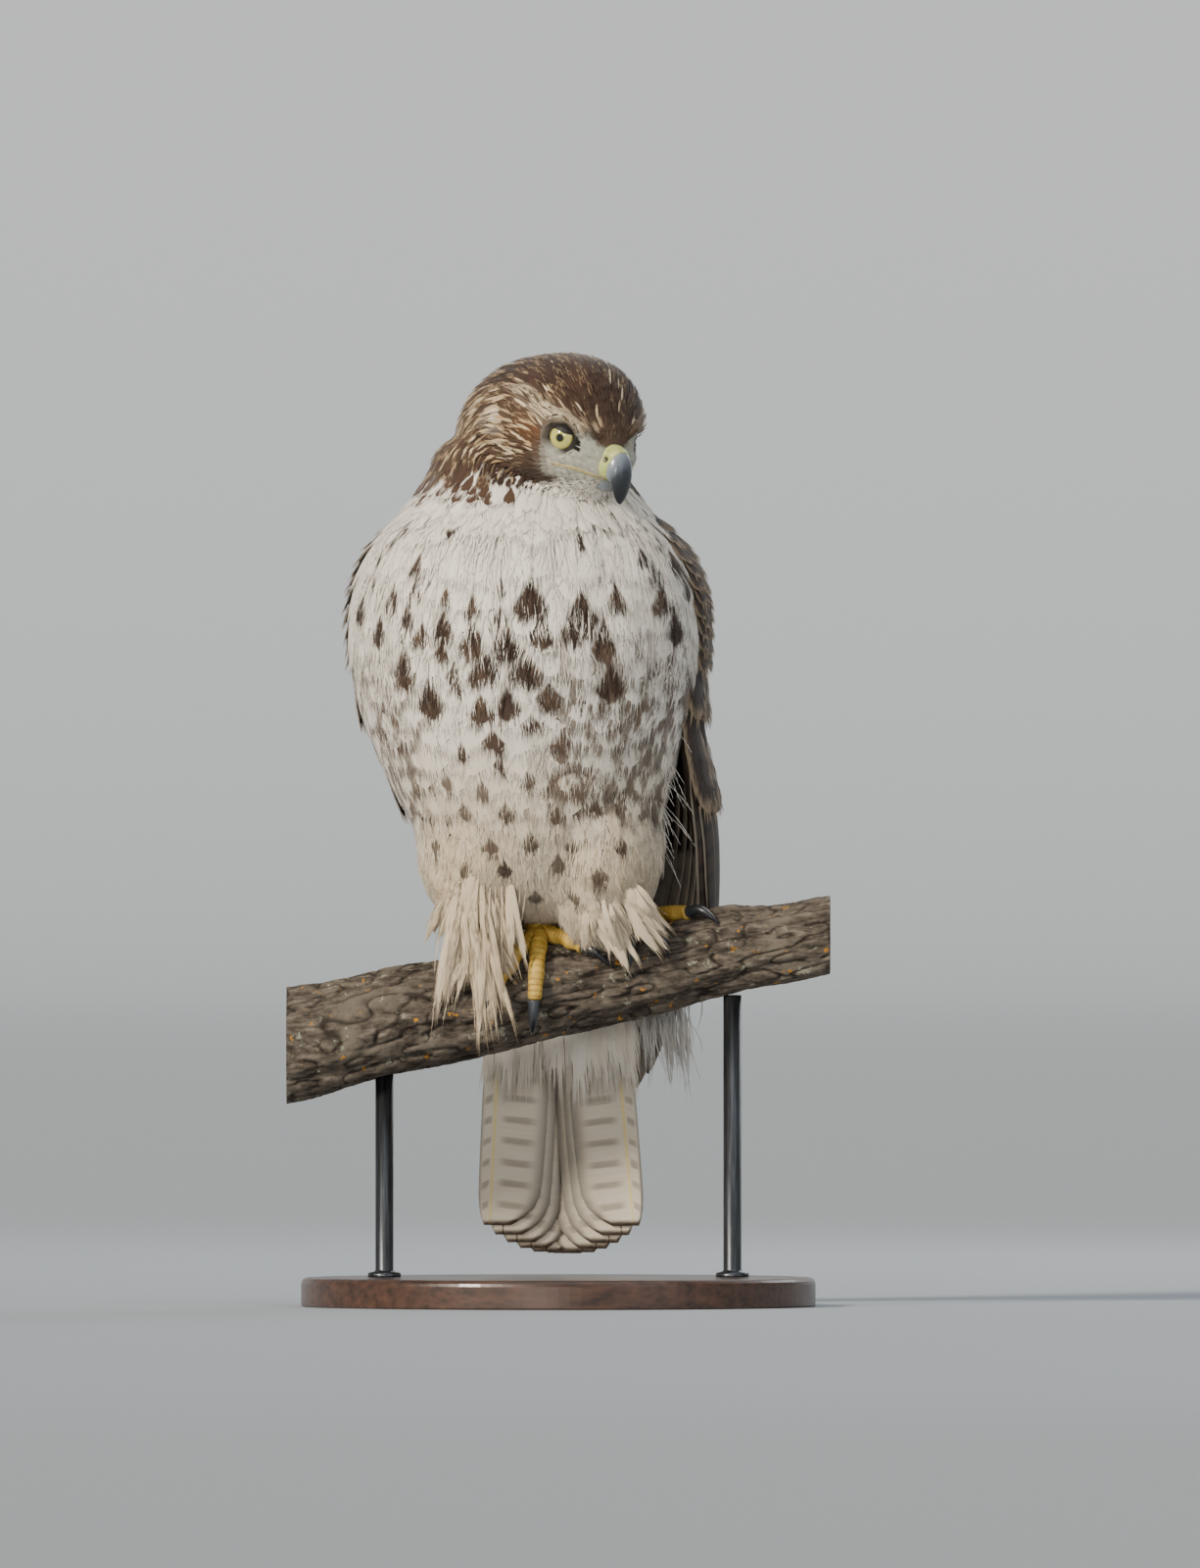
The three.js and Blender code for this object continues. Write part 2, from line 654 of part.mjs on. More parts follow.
// One folded wing: primaries, then the tiers of secondaries, coverts and scapulars over the shell.
function wing(side) {
  const primaries = PRIMARIES.map(([z, angle], i) =>
    wingFeather(side, [286, 94 + 5 * i, -6.5], [z, angle, -4.2 + 0.9 * i], 12));
  return joined([wingShell(side), ...primaries, ...TIERS.flatMap((row) => tier(side, row))]);
}

// Unit vectors of the tail: down its length, out from its upper side.
const tailAlong = at(...TAIL_TIP).sub(at(...TAIL_ROOT)).normalize();
const tailOut = at(1, 0, 0).cross(tailAlong).normalize();
if (tailOut.y < 0) tailOut.negate();
const tailLength = at(...TAIL_TIP).distanceTo(at(...TAIL_ROOT));

// One tail feather: how far from the middle, how deep in the stack, how long, and how wide.
function tailVane(offset, depth, length, half, { start = -14, spread = 1.22, point = 9, close = 2.5 } = {}) {
  const line = (v) =>
    at(...TAIL_ROOT).addScaledVector(tailAlong, start + (length - start) * v)
      .addScaledVector(tailOut, depth)
      .add(at(offset * (0.75 + (spread - 0.75) * v), 0, 0));
  return vane(line, () => at(1, 0, 0), () => tailOut, half, TAIL_VANE, { point, close, arch: 0.04 });
}

// The tail: six pairs of feathers folded under one another from the middle out, and coverts above and below.
function tail() {
  const pieces = [lobe(TAIL_LOBE, TAIL_LOBE_SIZE, 12, 8)];
  for (let i = 0; i < TAIL_PAIRS; i += 1)
    for (const side of [-1, 1]) {
      const depth = TAIL_TOP - TAIL_STEP * (2 * i + (side > 0 ? 1 : 0));
      const length = tailLength - 1.1 * i ** 1.75;
      const offset = side * (1.5 + TAIL_SPREAD * i * (1 - 0.03 * i));
      pieces.push(tailVane(offset, depth, length, TAIL_FEATHER / 2));
    }
  for (const [i, offset] of [0, -14, 14].entries()) {
    const above = TAIL_TOP + TAIL_STEP * (3 - i);
    const below = TAIL_TOP - TAIL_STEP * (2 * TAIL_PAIRS + 2 - i);
    pieces.push(tailVane(offset, above, 86 - 4 * i, 15, { point: 3, close: 1.8, spread: 1.1 }));
    pieces.push(tailVane(offset, below, 104 - 6 * i, 16, { point: 3, close: 1.8, spread: 1.1 }));
  }
  return joined(pieces);
}

// Room that the tail takes, as one straight slab in its plane, for what must stay clear of it.
function tailRoom() {
  const { half, from, beyond, low, high } = TAIL_ROOM;
  const length = tailLength + beyond - from;
  return solid(slab(1, 1, (u, v, side) =>
    at(...TAIL_ROOT).addScaledVector(tailAlong, from + length * v)
      .addScaledVector(tailOut, side ? high : low).add(at(half * (2 * u - 1), 0, 0))));
}

const COLOURS = {
  breast: 0xe9e0cf, brown: 0x5b4536, head: 0x6e5340, tail: 0xd8cbb2, horn: 0x2b2c30, cere: 0xc3cf6b,
  eye: 0xd6cf74, foot: 0xdcae3c, bark: 0x5f5448, wood: 0x3a2c22, steel: 0x3d3f42,
};

const wholeBody = bodyForm();
const headGrown = moved(skull(GAP).add(swollen(lowerBill(), GAP)), headFrame);
const neckAbove = block([-200, -200, NECK_FROM + GAP], [200, 200, 600]);
const torsoBelow = block([-200, -200, 0], [200, 200, NECK_FROM]);
const torsoGrown = swollen(wholeBody, GAP);
const branch = branchForm();
const branchGrown = moved(swollen(branch, GAP), toBird);
const torso = wholeBody.intersect(torsoBelow).subtract(headGrown);

const tailSolid = tail();
const tailNode = tailSolid.subtract(torsoGrown).subtract(branchGrown);
const tailGrown = joined([lobe(TAIL_LOBE, TAIL_LOBE_SIZE.map((half) => half + 1)), tailRoom()]);

const bird = new THREE.Group();
bird.position.set(BIRD_SHIFT, 0, 0);
bird.rotation.z = BIRD_TURN;
bird.add(mesh("torso", torso, COLOURS.breast));
bird.add(mesh("neck", wholeBody.intersect(neckAbove).subtract(headGrown), COLOURS.breast));
bird.add(mesh("tail", tailNode, COLOURS.tail));

const midplane = {
  left: block([GAP / 2, -200, 0], [300, 300, 600]),
  right: block([-300, -200, 0], [-GAP / 2, 300, 600]),
};
const feetGrown = joined(Object.keys(FEET).flatMap((name) =>
  [leg(name, GAP), ...FEET[name].toes.map((ends) => swollen(claw(FEET[name], ends), GAP))]));
for (const [name, side] of [["left", 1], ["right", -1]]) {
  const wingNode = wing(side).intersect(midplane[name]).subtract(torsoGrown).subtract(tailGrown);
  bird.add(mesh("wing_" + name, wingNode, COLOURS.brown));
  const thighNode = thigh(side).intersect(midplane[name]).subtract(torsoGrown).subtract(branchGrown)
    .subtract(feetGrown).subtract(tailGrown);
  bird.add(mesh("thigh_" + name, thighNode, COLOURS.breast));
  bird.add(mesh("leg_" + name, leg(name).subtract(torsoGrown), COLOURS.foot, 0.55));
  FEET[name].toes.forEach((ends, i) => {
    const clawNode = claw(FEET[name], ends).subtract(leg(name, GAP));
    bird.add(mesh("claw_" + name + "_" + (i + 1), clawNode, COLOURS.horn, 0.3));
  });
}

const headGroup = new THREE.Group();
headGroup.position.set(...HEAD_PLACE);
headGroup.quaternion.copy(headTurn);
headGroup.add(mesh("head", head(), COLOURS.head));
headGroup.add(mesh("cere", cere(), COLOURS.cere, 0.5));
headGroup.add(mesh("bill_upper", hornForm(), COLOURS.horn, 0.3));
const upperGrown = swollen(hornForm(), FACE_GAP).add(swollen(cereForm(), FACE_GAP));
headGroup.add(mesh("bill_lower", lowerBill().subtract(upperGrown), COLOURS.horn, 0.3));
for (const [name, side] of [["left", 1], ["right", -1]])
  headGroup.add(mesh("eye_" + name, eyeball(side), COLOURS.eye, 0.1));
bird.add(headGroup);

// The branch is worn to the feet, so that toes and claws lie in it with their clearance.
const perch = branch.subtract(moved(feetGrown, birdFrame));

const base = new THREE.LatheGeometry([
  [0, 0], [BASE_RADIUS - 1, 0], [BASE_RADIUS, 1], [BASE_RADIUS, BASE_HEIGHT - BASE_EDGE],
  [BASE_RADIUS - BASE_EDGE, BASE_HEIGHT], [0, BASE_HEIGHT],
].map(([r, y]) => new THREE.Vector2(r, y)), 36).rotateX(PI / 2);

function rod(x) {
  const height = branchHeight(x) - BASE_HEIGHT - GAP;
  const bar = new THREE.CylinderGeometry(ROD_RADIUS, ROD_RADIUS, height, 20).rotateX(PI / 2);
  return solid(bar.translate(x, 0, BASE_HEIGHT + GAP + height / 2)).subtract(swollen(branch, GAP));
}

const part = new THREE.Group();
part.add(bird);
part.add(mesh("perch", perch, COLOURS.bark));
part.add(mesh("stand_base", solid(base), COLOURS.wood, 0.4));
part.add(mesh("stand_rod_left", rod(ROD_REACH), COLOURS.steel, 0.35, 0.8));
part.add(mesh("stand_rod_right", rod(-ROD_REACH), COLOURS.steel, 0.35, 0.8));

export default part;
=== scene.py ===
# %% [markdown]
# # A young red-tailed hawk at rest
# A life-size museum model of a young red-tailed hawk on a cut length of branch, which two short rods hold
# over a round base. The solids were modelled first, at real size. This lesson dresses them: one seamless
# skin, coats of small feathers, folded wings and a tail of vanes, eyes, bill, scaled toes, bark and stand.
# Lengths below are millimetres, and become metres only when a mesh is made.

import bmesh
import bpy
import numpy as np
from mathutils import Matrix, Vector


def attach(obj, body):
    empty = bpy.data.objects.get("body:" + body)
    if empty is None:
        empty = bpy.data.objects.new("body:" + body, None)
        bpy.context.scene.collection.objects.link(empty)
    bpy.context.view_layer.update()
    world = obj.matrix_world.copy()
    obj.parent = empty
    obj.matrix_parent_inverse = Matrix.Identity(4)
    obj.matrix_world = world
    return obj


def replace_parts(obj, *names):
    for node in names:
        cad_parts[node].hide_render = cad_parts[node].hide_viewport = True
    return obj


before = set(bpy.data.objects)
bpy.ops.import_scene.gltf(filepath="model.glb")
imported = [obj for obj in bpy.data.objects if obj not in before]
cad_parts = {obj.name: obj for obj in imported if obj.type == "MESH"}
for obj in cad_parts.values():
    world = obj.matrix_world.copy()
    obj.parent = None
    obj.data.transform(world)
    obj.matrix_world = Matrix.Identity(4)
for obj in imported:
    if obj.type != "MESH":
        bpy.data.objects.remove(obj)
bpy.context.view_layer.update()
MM = 0.001
TAU = 2 * np.pi
DEGREE = np.pi / 180
rng = np.random.default_rng(20)
print("CAD nodes:", len(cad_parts))

# %% [markdown]
# ## Named sizes
# The same stations that shape the solids shape the skin, so both keep one outline. A station is a height
# (or a place along the head) with the half width and the reach to the front and back there.

# %% Stations of body, wings and head
BIRD_SHIFT = -8
BIRD_TURN = np.radians(-8)
HEAD_PLACE = np.array([25, -31, 482])
HEAD_TURN = np.radians(46)
HEAD_NOD = np.radians(13)
BODY = [
    [209, 18, 4, 46], [214, 38, -20, 60], [228, 55, -42, 70], [262, 67, -64, 77], [305, 83, -79, 80],
    [350, 95, -87, 80], [388, 96, -84, 76], [418, 86, -74, 69], [440, 67, -58, 60], [456, 56, -45, 52],
    [474, 47, -36, 46], [488, 24, -20, 28],
]
WINGS = [
    [100, 44, 66, 118], [150, 58, 52, 109], [200, 74, 14, 98], [240, 81, -10, 89], [300, 91, -42, 85],
    [350, 97, -62, 81], [388, 98, -70, 77], [418, 88, -66, 70], [440, 70, -54, 61],
]
HEAD = [
    [-80, 8, -8, -20], [-74, 23, 6, -36], [-60, 38, 24, -49], [-36, 44, 35, -49], [-12, 42, 40, -43],
    [8, 36, 38.5, -37], [19, 28.5, 30, -31], [26, 19, 16, -26], [30, 11, 4, -22.5], [32, 5, -4, -19],
]
LEAN = 10
WING_THICKNESS = 8
WING_SPREAD = 12
WING_SHIFT = -12
WING_TOP = (424, 440)
WING_FOOT = (232, 262)
SIDES = {"left": 1, "right": -1}


def through(rows, place):
    """Columns of a station table at many places: a cubic curve through its rows, whose slope at each row is
    that of the straight line between the rows before and after it."""
    table = np.array(rows, float)
    stations, values = table[:, 0], table[:, 1:]
    place = np.clip(place, stations[0], stations[-1])
    i = np.clip(np.searchsorted(stations, place, "right") - 1, 0, len(rows) - 2)
    before, after = np.maximum(i - 1, 0), np.minimum(i + 2, len(rows) - 1)
    span = (stations[i + 1] - stations[i])[..., None]
    t = (place - stations[i])[..., None] / span
    leaving = span * (values[i + 1] - values[before]) / (stations[i + 1] - stations[before])[..., None]
    arriving = span * (values[after] - values[i]) / (stations[after] - stations[i])[..., None]
    bend = (2 * t - 3) * t * t
    curve = values[i] * (bend + 1) - values[i + 1] * bend
    curve += leaving * t * (t - 1) ** 2 + arriving * t * t * (t - 1)
    return np.moveaxis(curve, -1, 0)


def rise(value, low, high):
    """From 0 to 1 with soft ends, as a value goes from low to high."""
    t = np.clip((value - low) / (high - low), 0, 1)
    return t * t * (3 - 2 * t)


def unit(v):
    """Vectors made one long."""
    return v / (np.linalg.norm(v, axis=-1, keepdims=True) + 1e-9)


def dot(a, b):
    """Dot products along the last axis, kept as a column."""
    return np.sum(a * b, axis=-1, keepdims=True)


def circle(columns):
    """Angles of a number of columns, at equal steps round a circle."""
    return np.linspace(0, TAU, columns, endpoint=False)


def turn_z(angle):
    """Matrix of a turn about the upright axis."""
    return np.array([[np.cos(angle), -np.sin(angle), 0], [np.sin(angle), np.cos(angle), 0], [0, 0, 1]])


def turn_x(angle):
    """Matrix of a turn about the axis that points sideways."""
    return np.array([[1, 0, 0], [0, np.cos(angle), -np.sin(angle)], [0, np.sin(angle), np.cos(angle)]])


HEAD_MATRIX = turn_z(HEAD_TURN) @ turn_x(HEAD_NOD)
BIRD_MATRIX = turn_z(BIRD_TURN)


def from_head(points):
    """Points of the head's own frame (forward is -Y) in the bird's frame."""
    return points @ HEAD_MATRIX.T + HEAD_PLACE


def to_head(points):
    """Points of the bird's frame in the head's own frame."""
    return (points - HEAD_PLACE) @ HEAD_MATRIX


def to_world(points):
    """Points of the bird's frame where the bird stands."""
    return points @ BIRD_MATRIX.T + np.array([BIRD_SHIFT, 0, 0])


def to_bird(points):
    """Points of the world in the bird's frame."""
    return (points - np.array([BIRD_SHIFT, 0, 0])) @ BIRD_MATRIX


# %% [markdown]
# ## Meshes from arrays
# Each surface is worked out as one array of points and one array of corners. `foreach_set` puts them in a
# mesh in one go, which is far faster than adding faces one at a time.

# %% Making a piece
def new_piece(name, points, faces, material, slot, smooth=True, world=True):
    """A mesh piece from points in millimetres and an array of faces with equal numbers of corners."""
    if not world:
        points = to_world(points)
    mesh = bpy.data.meshes.new(name)
    mesh.vertices.add(len(points))
    mesh.vertices.foreach_set("co", (points * MM).astype(np.float32).ravel())
    mesh.loops.add(faces.size)
    mesh.loops.foreach_set("vertex_index", faces.astype(np.int32).ravel())
    mesh.polygons.add(len(faces))
    mesh.polygons.foreach_set("loop_start", np.arange(len(faces), dtype=np.int32) * faces.shape[1])
    mesh.polygons.foreach_set("use_smooth", np.full(len(faces), smooth))
    mesh.update(calc_edges=True)
    mesh.validate()
    piece = bpy.data.objects.new(name, mesh)
    bpy.context.scene.collection.objects.link(piece)
    if material:
        mesh.materials.append(material)
    if slot:
        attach(piece, "root")
    print(f"{name}: {len(points)} points, {len(faces) * (faces.shape[1] - 2)} triangles")
    return piece


def mark(piece, name, values):
    """An attribute on the points of a piece: one number, a vector of three or a colour of four each."""
    kinds = {1: ("FLOAT", "value"), 3: ("FLOAT_VECTOR", "vector"), 4: ("FLOAT_COLOR", "color")}
    kind, field = kinds[values.shape[1] if values.ndim > 1 else 1]
    layer = piece.data.attributes.new(name, kind, "POINT")
    layer.data.foreach_set(field, values.astype(np.float32).ravel())


def unwrap(piece, places):
    """A UV map from one place for each point."""
    corners = np.empty(len(piece.data.loops), np.int32)
    piece.data.loops.foreach_get("vertex_index", corners)
    layer = piece.data.uv_layers.new(name="OFBake")
    layer.uv.foreach_set("vector", places[corners].astype(np.float32).ravel())


def grid_faces(rows, columns, round_rows=False, round_columns=False):
    """Quads over a grid of points numbered row by row, joined up where it goes round."""
    i = np.arange(rows if round_rows else rows - 1)[:, None]
    j = np.arange(columns if round_columns else columns - 1)[None, :]
    down, across = (i + 1) % rows, (j + 1) % columns
    corners = [i * columns + j, i * columns + across, down * columns + across, down * columns + j]
    return np.stack(np.broadcast_arrays(*corners), -1).reshape(-1, 4)


def closed_tube(rings):
    """Points and quads of a closed body from rings (rows, columns, 3): each end narrows to its middle."""
    rows, columns = rings.shape[:2]
    ends = [rings[k].mean(0) + (rings[k] - rings[k].mean(0)) * 0.02 for k in (0, -1)]
    rings = np.concatenate([ends[0][None], rings, ends[1][None]])
    faces = grid_faces(rows + 2, columns, round_columns=True)
    points = rings.reshape(-1, 3)
    half = np.arange(columns // 2 - 1)
    last = len(points) - columns
    caps = []
    for start in (0, last):
        rim = [start + half, start + half + 1, start + columns - 2 - half, start + columns - 1 - half]
        cap = np.stack(rim, -1)
        caps.append(cap if start else cap[:, ::-1])
    return points, np.concatenate([faces, *caps])


def gathered(parts):
    """One array of points and one of faces from several pairs of them: each pair's faces count on."""
    points, faces, count = [], [], 0
    for part_points, part_faces in parts:
        points.append(part_points)
        faces.append(part_faces + count)
        count += len(part_points)
    return np.concatenate(points), np.concatenate(faces)


def outwards(piece):
    """Turns every face of a finished piece to point out of it."""
    sheet = bmesh.new()
    sheet.from_mesh(piece.data)
    bmesh.ops.recalc_face_normals(sheet, faces=sheet.faces)
    sheet.to_mesh(piece.data)
    sheet.free()
    return piece


# %% [markdown]
# ## Soft repeatable noise
# Bark, skin and feather tone need a smooth random field. Value noise gives each corner of a lattice a
# number from a hash of its place, and blends between corners with the same soft step as above.

# %% Value noise
def lattice(cell, seed):
    """A number from 0 to 1 for each whole-number cell (..., 3)."""
    x, y, z = (cell[..., k].astype(np.int64) for k in range(3))
    h = (x * 73856093) ^ (y * 19349663) ^ (z * 83492791) ^ (seed * 2654435)
    h = (h ^ (h >> 13)) * 1274126177
    return ((h ^ (h >> 16)) & 0xFFFF) / 65535.0


def noise(points, size, seed=0):
    """Smooth noise from -1 to 1 with features about a size across."""
    place = points / size
    cell = np.floor(place)
    t = place - cell
    t = t * t * (3 - 2 * t)
    total = 0
    for corner in np.ndindex(2, 2, 2):
        corner = np.array(corner)
        weight = np.prod(np.where(corner, t, 1 - t), axis=-1)
        total = total + weight * lattice(cell + corner, seed)
    return 2 * total - 1


# %% [markdown]
# ## The bird as one form
# Body, head, brows, thighs and tail root each give a distance: below zero inside, above zero outside. The
# soft minimum of them is one form with no seams, and any point can be moved onto its surface by a few steps
# along the slope. Skin and feathers both use it, so feathers always lie true to the skin.

# %% Distances
def lean(z):
    """How far the body's middle lies to the side at a height: not at all at the legs, most above 330 mm."""
    return -LEAN * rise(z, 215, 330)


def wing_bed(z, angle):
    """Depth of the bed that the folded wing lies in, at a height and an angle from the front."""
    start = np.radians(72 + np.where(angle > 0, WING_SHIFT, 0))
    sideways = rise(np.abs(angle), start, start + np.radians(20))
    return WING_THICKNESS * sideways * (1 - rise(z, *WING_TOP)) * rise(z, *WING_FOOT)


def radial(x, y, half_x, half_y):
    """Distance from an ellipse, measured from its middle: a point's distance from there, less that same
    distance over the point's reach, which is 1 on the ellipse."""
    reach = np.hypot(x / half_x, y / half_y) + 1e-6
    return np.hypot(x, y) * (1 - 1 / reach)


def ball(points, centre, size):
    """Distance from a stretched ball, measured from its middle as for the ellipse."""
    offset = points - np.array(centre)
    reach = np.linalg.norm(offset / np.array(size), axis=-1) + 1e-6
    return np.linalg.norm(offset, axis=-1) * (1 - 1 / reach)


def soft_min(a, b, width):
    """The lesser of two distances, blended where they are within a width of each other."""
    share = np.clip(0.5 + 0.5 * (b - a) / width, 0, 1)
    return b * (1 - share) + a * share - width * share * (1 - share)


def body_distance(points, bedded):
    """Distance from body and neck, with or without the beds of the wings: the greatest of the distances from
    the ring at that height and from both ends."""
    x, y, z = np.moveaxis(points, -1, 0)
    half, front, back = through(BODY, z)
    middle, depth = (front + back) / 2, (back - front) / 2
    x, y = x - lean(z), y - middle
    bed = wing_bed(z, np.arctan2(x / half, -y / depth)) if bedded else 0
    side = radial(x, y, half - bed, depth - bed)
    return np.maximum(side, np.maximum(z - BODY[-1][0], BODY[0][0] - z))


BROW = np.array([[8, 28, 3.5], [18.5, 22, 7.5], [28, 11, 10], [31, -3, 9.5]])
FACE_HOLLOW = {"depth": 4.5, "forward": 14, "up": -1, "length": 11, "height": 9}
EYE_RADIUS = 9.6
EYE_PLACE = np.array([18.5, -10, 0])
EYE_LOOK = np.radians(56)
ORBIT_RADIUS = 11
LID_RING = 7.7
THIGH_PLACE, THIGH_SIZE = (34, -10, 250), (33, 43, 54)
RUMP_PLACE, RUMP_SIZE = (-2, 62, 238), (30, 17, 30)


def eye_look(side):
    """The way an eye looks, in the head's frame."""
    return np.array([side * np.sin(EYE_LOOK), -np.cos(EYE_LOOK), 0])


def eye_middle(side):
    """Middle of an eyeball in the head's frame."""
    return EYE_PLACE * np.array([side, 1, 1])


def head_distance(head_points):
    """Distance from skull and brows in the head's frame: rings less the hollow of the face, joined softly
    with nine balls along each brow, and with a round socket for each eye taken out."""
    x, y, z = np.moveaxis(head_points, -1, 0)
    forward = -y
    half, top, bottom = through(HEAD, forward)
    hollow = FACE_HOLLOW["depth"] * np.exp(
        -((forward - FACE_HOLLOW["forward"]) / FACE_HOLLOW["length"]) ** 2
        - ((z - FACE_HOLLOW["up"]) / FACE_HOLLOW["height"]) ** 2)
    skull = radial(x, z - (top + bottom) / 2, half - hollow, (top - bottom) / 2)
    skull = np.maximum(skull, np.maximum(forward - HEAD[-1][0], HEAD[0][0] - forward))
    mirrored = np.stack([np.abs(x), y, z], -1)
    brow = np.column_stack([np.linspace(0, 1, len(BROW)), BROW])
    for share in np.linspace(0.1, 0.9, 9):
        x0, f0, z0 = through(brow, np.array(share))
        bump = np.linalg.norm(mirrored - np.array([x0, -f0, z0]), axis=-1)
        skull = soft_min(skull, bump - 5.8 * np.sqrt(np.sin(np.pi * share)), 3)
    depth = np.sqrt(EYE_RADIUS ** 2 - LID_RING ** 2) - 1.6 + ORBIT_RADIUS
    orbit = np.linalg.norm(mirrored - eye_middle(1) - depth * eye_look(1), axis=-1) - ORBIT_RADIUS
    return -soft_min(-skull, orbit, 1.5)


def form(points, bedded=True):
    """Distance from the whole bird without wings, feet and vanes: the soft minimum of its parts. Below their
    middles the thighs get narrower and lean inwards."""
    whole = body_distance(points, bedded)
    x, y, z = np.moveaxis(points, -1, 0)
    for side in (-1, 1):
        low = (THIGH_PLACE[2] - z) / THIGH_SIZE[2]
        narrow = 1 - 0.2 * rise(low, 0.1, 1)
        across = (x + 3 * side * rise(low, 0, 1) - THIGH_PLACE[0] * side) / narrow
        centred = np.stack([across, (y - THIGH_PLACE[1]) / narrow, z - THIGH_PLACE[2]], -1)
        whole = soft_min(whole, ball(centred, (0, 0, 0), THIGH_SIZE), 10)
    whole = soft_min(whole, ball(points, RUMP_PLACE, RUMP_SIZE), 10)
    return soft_min(whole, head_distance(to_head(points)), 7)


def slope(points, bedded=True, step=0.4):
    """The form's distance at each point, and the way it grows fastest, from a small step along each axis."""
    here = form(points, bedded)
    ways = [form(points + step * axis, bedded) - here for axis in np.eye(3)]
    return here, np.stack(ways, -1) / step


def settle(points, level, bedded=True, rounds=2):
    """Points moved along the slope until they lie at a level above the form: each round takes off what is
    missing, over the square of the slope."""
    for _ in range(rounds):
        here, way = slope(points, bedded)
        points = points - ((here - level)[..., None] / (dot(way, way) + 1e-6)) * way
    return points


def face_share(points):
    """1 on the bare-looking face round bill and eyes, 0 on the rest."""
    _, y, z = np.moveaxis(to_head(points), -1, 0)
    return rise(-y, -2, 16) * rise(-z, -14, 4)


def head_share(points):
    """1 on the head, 0 on the body, soft at the neck."""
    return rise(body_distance(points, False) - head_distance(to_head(points)), -4, 6)


BODY_COAT, HEAD_COAT, FACE_LESS = 3.4, 2.0, 1.5


def coat_depth(points):
    """How far the skin lies under the form: deep on the body, shallow on the head, least on the face."""
    head = head_share(points)
    return BODY_COAT * (1 - head) + head * (HEAD_COAT - FACE_LESS * face_share(points))


# %% [markdown]
# ## Finishes
# Every finish is a small node sheet. These few helpers keep the sheets short: each method adds one node and
# gives back its output, and a plain number goes straight into the node's own socket.

# %% Node sheets
def colour(text):
    """A colour written as on a paint chart, such as c9b596, in the renderer's linear light."""
    values = np.array([int(text[k:k + 2], 16) for k in (0, 2, 4)]) / 255
    linear = np.where(values <= 0.04045, values / 12.92, ((values + 0.055) / 1.055) ** 2.4)
    return (*linear, 1.0)


def swatch(text):
    """The same colour as an array, for sums with other colours."""
    return np.array(colour(text))


class Finish:
    """A material under construction. A colour may be given as text, as on the paint chart."""

    def __init__(self, name, roughness=0.8, **constants):
        """A new material with its shader, and further numbers of the shader by name."""
        self.material = bpy.data.materials.new(name)
        self.material.use_nodes = True
        self.nodes = self.material.node_tree.nodes
        self.links = self.material.node_tree.links
        self.shader = self.nodes["Principled BSDF"]
        self.shader.inputs["Roughness"].default_value = roughness
        for key, value in constants.items():
            self.shader.inputs[key.replace("_", " ")].default_value = value

    def put(self, socket, value):
        """Joins another node's output to a socket, or sets a number or a colour there."""
        if isinstance(value, bpy.types.NodeSocket):
            self.links.new(value, socket)
        else:
            socket.default_value = colour(value) if isinstance(value, str) else value

    def add(self, kind, inputs=(), output=0, **settings):
        """A node with its settings and inputs, each a number, a colour or another node's output."""
        node = self.nodes.new("ShaderNode" + kind)
        for key, value in settings.items():
            setattr(node, key, value)
        for key, value in dict(inputs).items():
            self.put(node.inputs[key], value)
        return node.outputs[output]

    def math(self, operation, *values):
        """A sum on numbers."""
        return self.add("Math", enumerate(values), operation=operation)

    def times(self, a, b):
        """The first number times the second."""
        return self.math("MULTIPLY", a, b)

    def plus(self, a, b):
        """The first number plus the second."""
        return self.math("ADD", a, b)

    def less(self, a, b):
        """The first number less the second."""
        return self.math("SUBTRACT", a, b)

    def attribute(self, name, output="Vector"):
        """A value kept on the points of the piece."""
        return self.add("Attribute", output=output, attribute_name=name)

    def parts(self, vector):
        """The three numbers of a vector."""
        node = self.nodes.new("ShaderNodeSeparateXYZ")
        self.links.new(vector, node.inputs[0])
        return node.outputs

    def channels(self, name):
        """Red, green, blue and the fourth number of a colour attribute."""
        node = self.nodes.new("ShaderNodeAttribute")
        node.attribute_name = name
        split = self.nodes.new("ShaderNodeSeparateColor")
        self.links.new(node.outputs["Color"], split.inputs[0])
        return [*split.outputs, node.outputs["Alpha"]]

    def mix(self, share, a, b, blend="MIX"):
        """Two colours mixed by a share."""
        return self.add("Mix", {0: share, 6: a, 7: b}, output=2, data_type="RGBA", blend_type=blend)

    def step(self, value, low, high):
        """0 below low and 1 above high, with soft ends."""
        inputs = {0: value, 1: low, 2: high, 3: 0.0, 4: 1.0}
        return self.add("MapRange", inputs, interpolation_type="SMOOTHSTEP")

    def ramp(self, value, stops):
        """Grey or colour stops along a value, in rising order."""
        node = self.nodes.new("ShaderNodeValToRGB")
        self.links.new(value, node.inputs[0])
        elements = node.color_ramp.elements
        elements[0].position = stops[0][0]
        elements[1].position = stops[-1][0]
        for place, _ in stops[1:-1]:
            elements.new(place)
        for element, (_, shade) in zip(elements, stops):
            element.color = colour(shade) if isinstance(shade, str) else (shade, shade, shade, 1)
        return node.outputs[0]

    def place(self, scale=(1, 1, 1)):
        """Object coordinates, stretched."""
        here = self.add("TexCoord", output="Object")
        return self.add("Mapping", {0: here, 3: scale})

    def cloud(self, vector, scale, detail=3.0, roughness=0.55):
        """Noise from 0 to 1."""
        inputs = {"Vector": vector, "Scale": scale, "Detail": detail, "Roughness": roughness}
        return self.add("TexNoise", inputs)

    def finish(self, base, bump=None, strength=0.3, distance=0.0005):
        """Colour and relief joined to the shader."""
        self.put(self.shader.inputs["Base Color"], base)
        if bump is not None:
            relief = self.add("Bump", {"Strength": strength, "Distance": distance, "Height": bump})
            self.links.new(relief, self.shader.inputs["Normal"])
        return self.material


